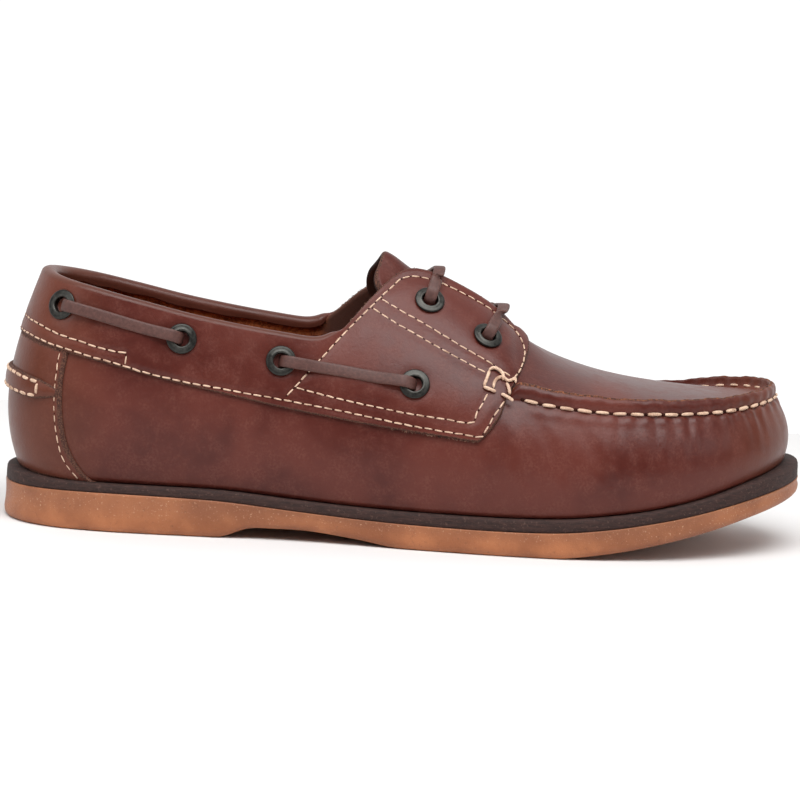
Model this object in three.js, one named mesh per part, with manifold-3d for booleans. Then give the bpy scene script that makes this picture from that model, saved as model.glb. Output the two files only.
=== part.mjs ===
// A moccasin-toed boat shoe for the right foot, size EU 43, standing empty on its sole.
// Millimetres: +X runs from heel to toe, +Y to the big-toe side, +Z up, with the floor at Z = 0.
import * as THREE from 'three';
import { mergeVertices } from 'three/addons/utils/BufferGeometryUtils.js';
import Module from 'manifold-3d';

// Driving dimensions
const LENGTH = 300;             // outsole, heel to toe
const TIP_Y = 5;                // the toe's tip lies this far to the big-toe side
const WALL = 2.2;               // upper leather with its lining
const OVERLAY = 1.4;            // collar band and counter
const SADDLE_OVERLAY = 2.0;     // saddle panels that carry the top eyelets
const STRAP_OVERLAY = 1.6;      // small strap over the back seam
const GAP = 0.3;                // air between neighbouring pieces
const INSOLE = 3.5;
const THROAT_HALF = 8.4;        // half the gap between the two saddle panels
const THROAT_X = 186;           // where the throat ends and the apron begins
const SEAM_LEVEL = 56.4;        // height of the moccasin seam where the saddle meets it
const RIDGE_TALL = 5.0;         // raised edge round the apron
const RIDGE_THICK = 2.6;
const RIDGE_FOOT = 1.2;         // the apron meets the ridge this far above the seam
const APRON_CROWN = 2.2;        // exponent of the apron's cross-section
const THROAT_CROWN = 1.6;       // the same where the throat ends, where the apron is more pointed
const FACING_DEPTH = 11;        // how far the collar band turns down inside
const EYELET = { flange: 5.5, bore: 2.75, barrel: 3.2, hole: 3.6, thick: 1.1, sides: 10 };
const LACE = { wide: 4.2, thick: 1.8 };
const TONGUE_THICK = 2.8;
const TONGUE_ROUND = 6;         // how blunt the tongue's arch is
const TONGUE_LEAN = 0.5;        // its sides sweep back towards the heel

// The sole in plan: distance of its edge from the centre line on each side
const OUTLINE = [
  { x: 6, lateral: 19.5, medial: 19.0 },
  { x: 20, lateral: 30.0, medial: 29.0 },
  { x: 45, lateral: 35.5, medial: 34.0 },
  { x: 75, lateral: 37.0, medial: 34.0 },
  { x: 105, lateral: 39.0, medial: 32.5 },
  { x: 140, lateral: 44.5, medial: 35.0 },
  { x: 175, lateral: 51.0, medial: 43.5 },
  { x: 208, lateral: 54.0, medial: 50.5 },
  { x: 240, lateral: 51.0, medial: 50.5 },
  { x: 265, lateral: 42.0, medial: 44.5 },
  { x: 284, lateral: 28.5, medial: 34.5 },
  { x: 295, lateral: 13.5, medial: 23.0 },
];

// The sole from the side: underside, top of the rubber, top of the dark midsole
const SOLE = [
  { x: 0, ground: 0, joint: 13.6, seat: 19.2 },
  { x: 20, ground: 0, joint: 14.2, seat: 17.8 },
  { x: 40, ground: 0, joint: 14.4, seat: 17.8 },
  { x: 78, ground: 0, joint: 13.7, seat: 17.6 },
  { x: 92, ground: 4.2, joint: 12.6, seat: 16.6 },
  { x: 107, ground: 4.3, joint: 11.3, seat: 15.4 },
  { x: 130, ground: 2.2, joint: 9.9, seat: 14.2 },
  { x: 146, ground: 0, joint: 9.3, seat: 13.8 },
  { x: 175, ground: 0, joint: 9.1, seat: 13.8 },
  { x: 200, ground: 0, joint: 9.5, seat: 14.4 },
  { x: 220, ground: 2.2, joint: 11.4, seat: 16.2 },
  { x: 238, ground: 5.6, joint: 14.2, seat: 18.8 },
  { x: 258, ground: 10.2, joint: 18.0, seat: 23.0 },
  { x: 278, ground: 15.4, joint: 22.4, seat: 28.3 },
  { x: 300, ground: 20.5, joint: 26.4, seat: 32.6 },
];

// Quarter sections. Each is a cubic from the sole to the collar or throat edge, as insets
// from the sole's edge: foot, low and high controls, then the edge on each side and its height,
// which drops a little on the big-toe side of the throat.
const QUARTER = [
  { x: 0, foot: 5.6, low: -4.5, high: 3.8, lateral: 12.2, medial: 12.2, top: 91.0, drop: 0 },
  { x: 10, foot: 5.0, low: -4.0, high: 2.6, lateral: 9.6, medial: 9.6, top: 89.6, drop: 0 },
  { x: 25, foot: 4.2, low: -2.6, high: 1.8, lateral: 7.4, medial: 7.2, top: 87.4, drop: 0 },
  { x: 45, foot: 3.8, low: -1.8, high: 1.6, lateral: 6.6, medial: 6.0, top: 83.6, drop: 0 },
  { x: 70, foot: 3.5, low: -1.5, high: 1.8, lateral: 6.8, medial: 5.2, top: 78.6, drop: 0 },
  { x: 100, foot: 3.2, low: -1.5, high: 2.4, lateral: 8.2, medial: 4.6, top: 74.2, drop: 0 },
  { x: 112, foot: 3.1, low: -1.6, high: 3.0, lateral: 9.2, medial: 4.4, top: 73.0, drop: 0 },
  { x: 118, foot: 3.1, low: -1.9, high: 3.8, lateral: 12.0, medial: 5.2, top: 75.2, drop: 0.2 },
  { x: 131, foot: 3.1, low: -2.6, high: 5.0, lateral: 21.6, medial: 12.6, top: 88.4, drop: 1.2 },
  { x: 140, foot: 3.1, low: -3.0, high: 6.4, lateral: 32.0, medial: 22.4, top: 96.4, drop: 2.4 },
  { x: 146, foot: 3.1, low: -3.2, high: 7.4, lateral: 37.1, medial: 27.6, top: 99.0, drop: 2.8 },
  { x: 153, foot: 3.0, low: -3.4, high: 8.0, lateral: 38.6, medial: 29.2, top: 98.0, drop: 3.0 },
  { x: 166, foot: 3.0, low: -3.6, high: 6.4, lateral: 41.0, medial: 32.8, top: 92.6, drop: 3.0 },
  { x: 178, foot: 3.0, low: -3.6, high: 2.6, lateral: 43.0, medial: 35.8, top: 85.6, drop: 2.6 },
  { x: 186, foot: 3.0, low: -3.6, high: -1.2, lateral: 44.0, medial: 37.9, top: 78.4, drop: 1.4 },
];

// Vamp sections: the same kind of cubic, from the sole to the moccasin seam, which also drops
// on the big-toe side
const VAMP = [
  { x: 186, foot: 3.0, low: -1.2, high: 0.0, seam: 10.2, level: SEAM_LEVEL, drop: 0.4 },
  { x: 200, foot: 2.9, low: -1.0, high: 0.6, seam: 9.4, level: 54.2, drop: 1.0 },
  { x: 225, foot: 2.9, low: -1.0, high: 0.8, seam: 9.4, level: 52.6, drop: 1.8 },
  { x: 250, foot: 3.2, low: -0.4, high: 1.2, seam: 9.6, level: 52.8, drop: 1.8 },
  { x: 272, foot: 4.0, low: 0.8, high: 2.2, seam: 9.8, level: 53.6, drop: 0.9 },
  { x: 290, foot: 5.2, low: 2.6, high: 3.9, seam: 10.6, level: 55.2, drop: 0 },
  { x: 300, foot: 6.3, low: 3.6, high: 4.9, seam: 10.9, level: 55.8, drop: 0 },
];

// Height of the apron along its middle
const CREST = [
  { x: 181, z: 80.6 },
  { x: 187, z: 76.8 },
  { x: 194, z: 72.6 },
  { x: 205, z: 67.8 },
  { x: 217, z: 63.8 },
  { x: 230, z: 60.9 },
  { x: 243, z: 59.0 },
  { x: 256, z: 57.8 },
  { x: 270, z: 57.2 },
  { x: 292, z: 57.0 },
];

// The spine that the sections point at: across the shoe, and fanned out at heel and toe
const SPINE = [
  { x: 0, spine: 36 },
  { x: 30, spine: 44 },
  { x: 60, spine: 62 },
  { x: 75, spine: 75 },
  { x: 95, spine: 95 },
  { x: 205, spine: 205 },
  { x: 222, spine: 221.5 },
  { x: 240, spine: 235 },
  { x: 262, spine: 246 },
  { x: 300, spine: 252 },
];

// Tongue, by section from its sewn end to its free end
const TONGUE = [
  { x: 197, crest: 68.2, half: 12, lateral: 0.55, medial: 0.55 },
  { x: 188, crest: 73.0, half: 15, lateral: 0.7, medial: 0.75 },
  { x: 180, crest: 78.6, half: 18, lateral: 0.8, medial: 0.9 },
  { x: 170, crest: 86.0, half: 20, lateral: 0.85, medial: 1.0 },
  { x: 160, crest: 91.6, half: 18, lateral: 0.9, medial: 1.15 },
  { x: 151, crest: 96.3, half: 14.5, lateral: 1.08, medial: 1.4 },
  { x: 144, crest: 100.8, half: 12.2, lateral: 1.12, medial: 1.45 },
  { x: 137, crest: 105.2, half: 12, lateral: 1.05, medial: 1.3 },
];

// Panel edges seen from the side
const BAND_EDGE = [
  { x: -5, z: 69.3 },
  { x: 6, z: 67.8 },
  { x: 19, z: 65.0 },
  { x: 41, z: 60.8 },
  { x: 60, z: 56.6 },
  { x: 81, z: 52.8 },
  { x: 101, z: 49.0 },
  { x: 119, z: 46.4 },
  { x: 138, z: 44.2 },
  { x: 157, z: 42.5 },
  { x: 172, z: 41.2 },
];
const SADDLE_FRONT = [
  { x: 172, z: 41.2 },
  { x: 176.5, z: 46.5 },
  { x: 179.5, z: 51.5 },
  { x: 183.2, z: 59.5 },
  { x: 187, z: 64.0 },
  { x: 191, z: 68.5 },
  { x: 193.6, z: 73.5 },
  { x: 193.2, z: 78.5 },
  { x: 188, z: 90.0 },
];
const SADDLE_REAR = [
  { x: 101.5, z: 49.0 },
  { x: 104.5, z: 54.0 },
  { x: 115.5, z: 73.5 },
  { x: 119.5, z: 79.5 },
];
const COUNTER_FRONT = [
  { x: 19.8, z: 64.2 },
  { x: 19.3, z: 58.0 },
  { x: 19.6, z: 49.8 },
  { x: 21.0, z: 37.1 },
  { x: 23.6, z: 28.1 },
  { x: 29.5, z: 19.4 },
  { x: 33.0, z: 16.0 },
];
const STRAP = { front: 12.5, low: 47.2, high: 54.2 };

// Eyelets, the same on both sides
const EYELETS = [
  { name: 'collar_back', x: 15.0, z: 81.5, panel: OVERLAY },
  { name: 'collar_side', x: 62.2, z: 72.2, panel: OVERLAY },
  { name: 'collar_front', x: 99.0, z: 65.8, panel: OVERLAY },
  { name: 'saddle_side', x: 148.0, z: 59.6, panel: SADDLE_OVERLAY + 0.3 },
  { name: 'throat_top', x: 153.0, z: 87.6, panel: SADDLE_OVERLAY },
  { name: 'throat_low', x: 174.2, z: 75.9, panel: SADDLE_OVERLAY },
];

// Sections run through these places on both sides of the shoe
const STATIONS = [
  0, 1.5, 6, 13, 22, 33, 46, 62, 78, 92, 104, 112, 118, 124.5, 131, 140, 146, 153, 166, 178, 186,
  191, 200, 212, 225, 238, 250, 262, 272.5, 282, 290, 296, 299, 300,
];
const WALL_ROWS = [0, 0.2, 0.42, 0.64, 0.84];
const TOP_ROWS = [0.14, 0.34, 0.58, 0.8, 1];

const wasm = await Module();
wasm.setup();

const LEATHER = new THREE.MeshStandardMaterial({ color: 0x6b3026, roughness: 0.45 });
const BAND_LEATHER = new THREE.MeshStandardMaterial({ color: 0x643024, roughness: 0.42 });
const LACE_LEATHER = new THREE.MeshStandardMaterial({ color: 0x4a2a26, roughness: 0.75 });
const BRONZE = new THREE.MeshStandardMaterial({ color: 0x3c3c36, roughness: 0.4, metalness: 0.9 });
const RUBBER = new THREE.MeshStandardMaterial({ color: 0xb4703c, roughness: 0.6 });
const DARK_FOAM = new THREE.MeshStandardMaterial({ color: 0x3f2a24, roughness: 0.85 });
const LINING = new THREE.MeshStandardMaterial({ color: 0x9a4c26, roughness: 0.9 });

// Smooth curves through short tables

// A cubic through the points that doesn't overshoot them; ends run level with their neighbours.
function curve(xs, ys) {
  const n = xs.length;
  const step = (i) => xs[i + 1] - xs[i];
  const slope = (i) => (ys[i + 1] - ys[i]) / step(i);
  const tangent = xs.map((_, i) => {
    if (i === 0) return slope(0);
    if (i === n - 1) return slope(n - 2);
    const before = slope(i - 1);
    const after = slope(i);
    if (before * after <= 0) return 0;
    const w1 = 2 * step(i) + step(i - 1);
    const w2 = step(i) + 2 * step(i - 1);
    return (w1 + w2) / (w1 / before + w2 / after);
  });
  return (x) => {
    const at = Math.min(Math.max(x, xs[0]), xs[n - 1]);
    let i = 0;
    while (i < n - 2 && at >= xs[i + 1]) i += 1;
    const h = step(i);
    const t = (at - xs[i]) / h;
    const rise = t * t * (3 - 2 * t);
    return ys[i] * (1 - rise) + ys[i + 1] * rise
      + h * (t * (1 - t) ** 2 * tangent[i] - t * t * (1 - t) * tangent[i + 1]);
  };
}

const column = (table, key) => curve(table.map((row) => row.x), table.map((row) => row[key]));
const columns = (table, keys) => Object.fromEntries(keys.map((key) => [key, column(table, key)]));

const sole = columns(SOLE, ['ground', 'joint', 'seat']);
const quarter = columns(QUARTER, ['foot', 'low', 'high', 'lateral', 'medial', 'top', 'drop']);
const vamp = columns(VAMP, ['foot', 'low', 'high', 'seam', 'level', 'drop']);
const crest = column(CREST, 'z');
const spine = column(SPINE, 'spine');
const edge = { '-1': outlineSide('lateral', -1), 1: outlineSide('medial', 1) };

// One side of the sole's edge as y over the turn 0 (heel) to PI (toe), so that both ends are round.
function outlineSide(key, side) {
  const turn = (x) => Math.acos(1 - 2 * x / LENGTH);
  const turns = OUTLINE.map((row) => turn(row.x));
  const ys = OUTLINE.map((row) => side * row[key]);
  const other = side > 0 ? 'lateral' : 'medial';
  const first = -side * OUTLINE[0][other];
  const last = -side * OUTLINE[OUTLINE.length - 1][other];
  const along = curve(
    [-turns[0], 0, ...turns, Math.PI, 2 * Math.PI - turns[turns.length - 1]],
    [first, 0, ...ys, TIP_Y, last],
  );
  return (x) => along(turn(x));
}

// Where the section at x starts on the sole's edge, and which way it leans inwards
function section(x, side) {
  const start = new THREE.Vector2(x, edge[side](x));
  const centre = TIP_Y * THREE.MathUtils.smoothstep(x, 180, LENGTH);
  const inward = new THREE.Vector2(spine(x), centre).sub(start).normalize();
  return { start, inward };
}

function place(x, side, inset, z) {
  const { start, inward } = section(x, side);
  return new THREE.Vector3(start.x + inward.x * inset, start.y + inward.y * inset, z);
}

function bezier(a, b, c, d, t) {
  const s = 1 - t;
  return a * s ** 3 + 3 * b * t * s * s + 3 * c * t * t * s + d * t ** 3;
}

const edgeLevel = (x, side) => quarter.top(x) - (side > 0 ? quarter.drop(x) : 0);
const seamLevel = (x, side) => vamp.level(x) - (side > 0 ? vamp.drop(x) : 0);

// Quarter and vamp: v runs 0 to 1 from the sole to the seam's level, 1 to 2 from there to the
// collar, the throat or, over the apron, the throat's front end.
function quarterPoint(x, side, t) {
  const rim = side < 0 ? quarter.lateral(x) : quarter.medial(x);
  const high = quarter.high(x) * (side < 0 ? 1 : rim / quarter.lateral(x));
  const inset = bezier(quarter.foot(x), quarter.low(x), high, rim, t);
  const low = sole.seat(x) + GAP;
  return place(x, side, inset, low + (edgeLevel(x, side) - low) * t);
}

function vampPoint(x, side, t) {
  const inset = bezier(vamp.foot(x), vamp.low(x), vamp.high(x), vamp.seam(x), t);
  const low = sole.seat(x) + GAP;
  return place(x, side, inset, low + (seamLevel(x, side) - low) * t);
}

// The seam in plan, as y over x on each side, read off the vamp sections
const SEAM_SAMPLES = 40;
const seamEdge = Object.fromEntries([-1, 1].map((side) => {
  const points = [];
  for (let i = 0; i <= SEAM_SAMPLES; i += 1) {
    const turn = Math.acos(1 - 2 * THROAT_X / LENGTH);
    const x = LENGTH / 2 * (1 - Math.cos(turn + (Math.PI - turn) * i / SEAM_SAMPLES));
    const p = vampPoint(x, side, 1);
    if (!points.length || p.x > points[points.length - 1].x + 0.01) points.push(p);
  }
  return [side, curve(points.map((p) => p.x), points.map((p) => p.y))];
}));

function apronHeight(x, y) {
  const middle = TIP_Y * THREE.MathUtils.smoothstep(x, 180, LENGTH);
  const side = y < middle ? -1 : 1;
  const share = Math.min(1, Math.abs((y - middle) / (seamEdge[side](x) - middle)));
  const crown = THREE.MathUtils.lerp(THROAT_CROWN, APRON_CROWN, THREE.MathUtils.smoothstep(x, THROAT_X, 215));
  const low = seamLevel(x, side) + RIDGE_FOOT;
  return low + (crest(x) - low) * (1 - share ** crown);
}

// The throat's front end: a shallow arc between the two saddle panels
function throatEnd(x, side) {
  const share = (LENGTH - x) / (LENGTH - THROAT_X);
  const y = side * THROAT_HALF * Math.sqrt(share);
  const bulge = 2.5 * (1 - (y / THROAT_HALF) ** 2);
  const lift = edgeLevel(THROAT_X, side) - apronHeight(THROAT_X, side * THROAT_HALF);
  const at = THROAT_X + bulge;
  return new THREE.Vector3(at, y, apronHeight(at, y) + lift * (y / THROAT_HALF) ** 2);
}

function surface(x, side, v) {
  if (x <= THROAT_X) {
    const low = sole.seat(x) + GAP;
    const split = (seamLevel(THROAT_X, side) - low) / (edgeLevel(x, side) - low);
    return quarterPoint(x, side, v < 1 ? v * split : split + (v - 1) * (1 - split));
  }
  if (v <= 1) return vampPoint(x, side, v);
  const from = vampPoint(x, side, 1);
  const to = throatEnd(x, side);
  const p = from.clone().lerp(to, v - 1);
  const blend = THREE.MathUtils.smoothstep(v, 1, 2);
  const end = to.z - apronHeight(to.x, to.y);
  return new THREE.Vector3(p.x, p.y, apronHeight(p.x, p.y) + end * blend);
}

// Outward normal, from neighbouring points of the surface
function normal(x, side, v) {
  const dx = x < 2 || x > LENGTH - 2 ? 0 : 0.5;
  const dv = 0.02;
  const up = surface(x, side, Math.min(2, v + dv)).sub(surface(x, side, Math.max(0, v - dv)));
  if (!dx) {
    const { inward } = section(x, side);
    const across = new THREE.Vector3(-inward.y, inward.x, 0);
    return up.clone().cross(across).normalize();
  }
  const along = surface(x + dx, side, v).sub(surface(x - dx, side, v));
  return along.cross(up).multiplyScalar(-side).normalize();
}

// Closed meshes out of rings

const RING = [
  ...STATIONS.map((x) => ({ x, side: -1 })),
  ...STATIONS.slice(1, -1).reverse().map((x) => ({ x, side: 1 })),
];

const ring = (point) => RING.map(({ x, side }) => point(x, side));

function solidOf(points, triangles) {
  const mesh = new wasm.Mesh({
    numProp: 3,
    vertProperties: Float32Array.from(points.flatMap((p) => [p.x, p.y, p.z])),
    triVerts: Uint32Array.from(triangles),
  });
  mesh.merge();
  const solid = new wasm.Manifold(mesh);
  if (solid.volume() > 0) return solid;
  const turned = [];
  for (let i = 0; i < triangles.length; i += 3) turned.push(triangles[i], triangles[i + 2], triangles[i + 1]);
  return solidOf(points, turned);
}

// Rings joined one to the next; a shell's last ring joins its first, a stack's ends are capped.
function rings(list, capped) {
  const n = list[0].length;
  const points = list.flat();
  const triangles = [];
  const quad = (a, b, c, d) => triangles.push(a, b, c, a, c, d);
  const last = capped ? list.length - 1 : list.length;
  for (let k = 0; k < last; k += 1) {
    const next = (k + 1) % list.length;
    for (let i = 0; i < n; i += 1) {
      const j = (i + 1) % n;
      quad(k * n + i, k * n + j, next * n + j, next * n + i);
    }
  }
  if (capped) {
    const half = n / 2;
    const cap = (base, up) => {
      const tri = (a, b, c) => triangles.push(base + a, base + (up ? b : c), base + (up ? c : b));
      tri(0, 1, n - 1);
      for (let i = 1; i < half - 1; i += 1) {
        tri(i, i + 1, n - i);
        tri(i + 1, n - i - 1, n - i);
      }
      tri(half - 1, half, half + 1);
    };
    cap(0, false);
    cap((list.length - 1) * n, true);
  }
  return solidOf(points, triangles);
}

function toGeometry(solid) {
  const { vertProperties, triVerts } = solid.getMesh();
  const geometry = new THREE.BufferGeometry();
  geometry.setAttribute('position', new THREE.BufferAttribute(vertProperties, 3));
  geometry.setIndex(new THREE.BufferAttribute(triVerts, 1));
  geometry.computeVertexNormals();
  return geometry;
}

function toSolid(geometry) {
  const bare = geometry.clone();
  bare.deleteAttribute('normal');
  bare.deleteAttribute('uv');
  const merged = mergeVertices(bare, 1e-3);
  return new wasm.Manifold(new wasm.Mesh({
    numProp: 3,
    vertProperties: merged.attributes.position.array,
    triVerts: new Uint32Array(merged.index.array),
  }));
}

// A side-view outline as a block that reaches from one y to another
function prism(outline, fromY, toY) {
  const shape = new THREE.Shape(outline.map(({ x, z }) => new THREE.Vector2(x, z)));
  const geometry = new THREE.ExtrudeGeometry(shape, { depth: toY - fromY, bevelEnabled: false });
  geometry.rotateX(Math.PI / 2);
  geometry.translate(0, toY, 0);
  return toSolid(geometry);
}

const shoe = new THREE.Group();

function add(name, solid, material) {
  const mesh = new THREE.Mesh(toGeometry(solid), material);
  mesh.name = name;
  shoe.add(mesh);
}

// Outsole: rubber with a heel, a shallow arch and a rolled-up toe
function outsole() {
  const level = (inset, share, lift) => ring((x, side) => {
    const z = THREE.MathUtils.lerp(sole.ground(x), sole.joint(x), share);
    return place(x, side, inset, z + lift);
  });
  return rings([level(2.4, 0, 0), level(0.8, 0, 0.8), level(0, 0, 2.6), level(0.3, 1, 0)], true);
}

// Midsole: a dark layer with a soft upper edge
function midsole() {
  const level = (inset, key, lift) => ring((x, side) => place(x, side, inset, sole[key](x) + lift));
  return rings([level(0.5, 'joint', GAP), level(1.0, 'seat', -1.0), level(1.8, 'seat', 0)], true);
}

// Insole: lies on the midsole inside the upper's wall
function insole() {
  const inside = (x) => (x <= THROAT_X ? quarter.foot(x) : vamp.foot(x)) + WALL + 1.2;
  const level = (more, lift) => ring((x, side) => place(x, side, inside(x) + more, sole.seat(x) + lift));
  return rings([level(0, GAP), level(0.8, INSOLE)], true);
}

// The surface moved outwards by a distance, row by row; the foot row keeps its level
function skin(offset, rows) {
  return rows.map((v) => ring((x, side) => {
    const p = surface(x, side, v);
    const moved = p.clone().addScaledVector(normal(x, side, v), offset);
    if (v === 0) moved.z = p.z;
    return moved;
  }));
}

const ALL_ROWS = [...WALL_ROWS, 1, ...TOP_ROWS.map((v) => 1 + v)];

// The raised seam round the apron stands up out of the vamp, and ends at the saddle panels
function ridge(side, x, part) {
  const rise = THREE.MathUtils.smoothstep(x, THROAT_X + 2, THROAT_X + 9);
  const across = { outer: 0.4, inner: RIDGE_THICK, foot: RIDGE_THICK + 0.5 }[part];
  const up = part === 'foot' ? 0.1 : RIDGE_TALL;
  const from = surface(x, side, 1);
  const to = surface(x, side, 1 + TOP_ROWS[0]);
  if (x <= THROAT_X) return from.lerp(to, { outer: 0.2, inner: 0.4, foot: 0.6 }[part]);
  const { inward } = section(x, side);
  const p = new THREE.Vector3(from.x + inward.x * across, from.y + inward.y * across, 0);
  const base = THREE.MathUtils.lerp(from.z, apronHeight(p.x, p.y), Math.min(1, across / RIDGE_THICK));
  p.z = base + up * rise;
  if (part === 'inner') p.z = from.z + (RIDGE_TALL - 0.3) * rise + (1 - rise) * RIDGE_FOOT;
  return p;
}

// Upper: one hollow wall, open at the collar, down the throat and underneath
function upper() {
  const wallOut = skin(0, WALL_ROWS);
  const seam = [
    ring((x, side) => surface(x, side, 1)),
    ring((x, side) => ridge(side, x, 'outer')),
    ring((x, side) => ridge(side, x, 'inner')),
    ring((x, side) => ridge(side, x, 'foot')),
  ];
  const topOut = skin(0, TOP_ROWS.map((v) => 1 + v));
  const inside = skin(-WALL, [0, 0.3, 0.7, 1.15, 1.5, 1.8, 2]).reverse();
  return rings([...wallOut, ...seam, ...topOut, ...inside], false);
}

// A layer on the outside of the upper, between two distances from it
const layer = (near, far) => rings([...skin(near, ALL_ROWS), ...skin(far, ALL_ROWS).reverse()], false);

// Collar band: covers the quarters above its edge, rolls over the rim and turns down inside
function collarBand() {
  const over = (distance) => {
    const out = skin(distance, ALL_ROWS);
    const crown = (depth, rise) => ring((x, side) => {
      const n = normal(x, side, 2);
      const up = surface(x, side, 2).sub(surface(x, side, 1.96)).normalize();
      return surface(x, side, 2).addScaledVector(n, depth).addScaledVector(up, rise);
    });
    const down = [0, 1].map((share) => ring((x, side) => {
      const span = edgeLevel(x, side) - seamLevel(THROAT_X, side);
      const v = 2 - share * FACING_DEPTH / span * (x <= THROAT_X ? 1 : 0);
      return surface(x, side, v).addScaledVector(normal(x, side, v), -WALL - distance);
    }));
    return [...out, crown(distance * 0.6, distance * 0.8), crown(-WALL / 2, distance + 0.5),
      crown(-WALL - distance * 0.6, distance * 0.8), ...down.slice(1)];
  };
  const cover = rings([...over(GAP), ...over(GAP + OVERLAY).reverse()], false);
  const rear = SADDLE_REAR.map(({ x, z }) => ({ x: x - GAP, z }));
  const below = BAND_EDGE.filter((p) => p.x < rear[0].x);
  const region = [...below, ...rear, { x: 119.5, z: 100 }, { x: -5, z: 100 }];
  return cover.intersect(prism(region, -70, 70));
}

// Counter: wraps the heel below the collar band
function counter() {
  const gap = GAP;
  const top = BAND_EDGE.filter((p) => p.x < 20).map(({ x, z }) => ({ x, z: z - gap }));
  const region = [{ x: -5, z: 10 }, ...[...COUNTER_FRONT].reverse(), ...top.reverse()];
  return layer(GAP, GAP + OVERLAY).intersect(prism(region, -70, 70));
}

// Heel strap: a short tab sewn over the back seam, on the counter
function heelStrap() {
  const from = GAP + OVERLAY + GAP;
  const { front, low, high } = STRAP;
  const region = [{ x: -10, z: low }, { x: front, z: low }, { x: front, z: high }, { x: -10, z: high }];
  return layer(from, from + STRAP_OVERLAY).intersect(prism(region, -70, 70));
}

// Saddle panel: from the collar band's front end over the instep to the throat
function saddle(side) {
  const bottom = BAND_EDGE.filter((p) => p.x > SADDLE_REAR[0].x);
  const rear = [...SADDLE_REAR].reverse();
  const region = [...bottom, ...SADDLE_FRONT.slice(1), { x: 160, z: 115 }, { x: 110, z: 115 }, { x: 110, z: 79.5 },
    ...rear];
  const [fromY, toY] = side < 0 ? [-70, -2] : [2, 70];
  return layer(GAP, GAP + SADDLE_OVERLAY).intersect(prism(region, fromY, toY));
}

// Tongue: an arched strip, its front end under the apron
function tongue() {
  const acrossRows = [-1, -0.75, -0.5, -0.25, 0, 0.25, 0.5, 0.75, 1];
  const list = TONGUE.map(({ x, crest: z, half, lateral, medial }) => {
    const arc = (depth) => acrossRows.map((share) => {
      const y = half * share;
      const slope = y < 0 ? lateral : medial;
      const drop = depth + slope * (Math.hypot(y, TONGUE_ROUND) - TONGUE_ROUND);
      return new THREE.Vector3(x - TONGUE_LEAN * drop, y, z - drop);
    });
    return [...arc(0), ...arc(TONGUE_THICK).reverse()];
  });
  const n = list[0].length;
  const points = list.flat();
  const triangles = [];
  for (let k = 0; k < list.length - 1; k += 1) {
    for (let i = 0; i < n; i += 1) {
      const j = (i + 1) % n;
      const [a, b] = [k * n, (k + 1) * n];
      triangles.push(a + i, b + i, b + j, a + i, b + j, a + j);
    }
  }
  const across = acrossRows.length;
  for (const [base, flip] of [[0, false], [(list.length - 1) * n, true]]) {
    for (let i = 0; i < across - 1; i += 1) {
      const [a, b, c, d] = [i, i + 1, n - 2 - i, n - 1 - i].map((k) => base + k);
      if (flip) triangles.push(a, c, b, a, d, c);
      else triangles.push(a, b, c, a, c, d);
    }
  }
  return solidOf(points, triangles);
}

// The surface point under a place given from the side
function seat(x, side, z) {
  let [at, v] = [x, 1.3];
  for (let i = 0; i < 30; i += 1) {
    const p = surface(at, side, v);
    const above = surface(at, side, Math.min(2, v + 0.01));
    const rise = (above.z - p.z) / (Math.min(2, v + 0.01) - v || 1);
    v = Math.min(1.98, Math.max(0.02, v + (z - p.z) / Math.max(rise, 10)));
    at += (x - p.x) * 0.8;
  }
  return { point: surface(at, side, v), out: normal(at, side, v) };
}

// Eyelet: a turned ring whose barrel passes through the leather
function eyeletSolid(panel) {
  const { flange, bore, barrel, thick } = EYELET;
  const top = panel + 2 * GAP + 0.1;
  const bottom = -WALL + 0.2;
  const profile = [
    [bore, bottom], [barrel, bottom], [barrel, top], [flange, top], [flange - 0.4, top + thick],
    [bore, top + thick], [bore, bottom],
  ].map(([r, h]) => new THREE.Vector2(r, h));
  return toSolid(new THREE.LatheGeometry(profile, EYELET.sides).rotateX(Math.PI / 2));
}

function onto(solid, { point, out }) {
  const turn = new THREE.Quaternion().setFromUnitVectors(new THREE.Vector3(0, 0, 1), out);
  const matrix = new THREE.Matrix4().compose(point, turn, new THREE.Vector3(1, 1, 1));
  return solid.transform(matrix.elements);
}

const SIDES = [['lateral', -1], ['medial', 1]];
const eyeletSeats = SIDES.flatMap(([word, side]) => EYELETS.map(({ name, x, z, panel }) => ({
  name: `eyelet_${name}_${word}`, short: name, side, panel, ...seat(x, side, z),
})));
const punch = toSolid(new THREE.CylinderGeometry(EYELET.hole, EYELET.hole, 16, EYELET.sides).rotateX(Math.PI / 2));
const punches = eyeletSeats.map((place_) => onto(punch, place_));

function punched(solid) {
  return punches.reduce((left, hole) => left.subtract(hole), solid);
}

// Lace: a flat leather thong bent through two eyelets. The stops lie closer where it bends.
const LACE_STOPS = [0, 1, 1.5, 2, 3, 4, 5, 6, 6.5, 7, 8];

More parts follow.
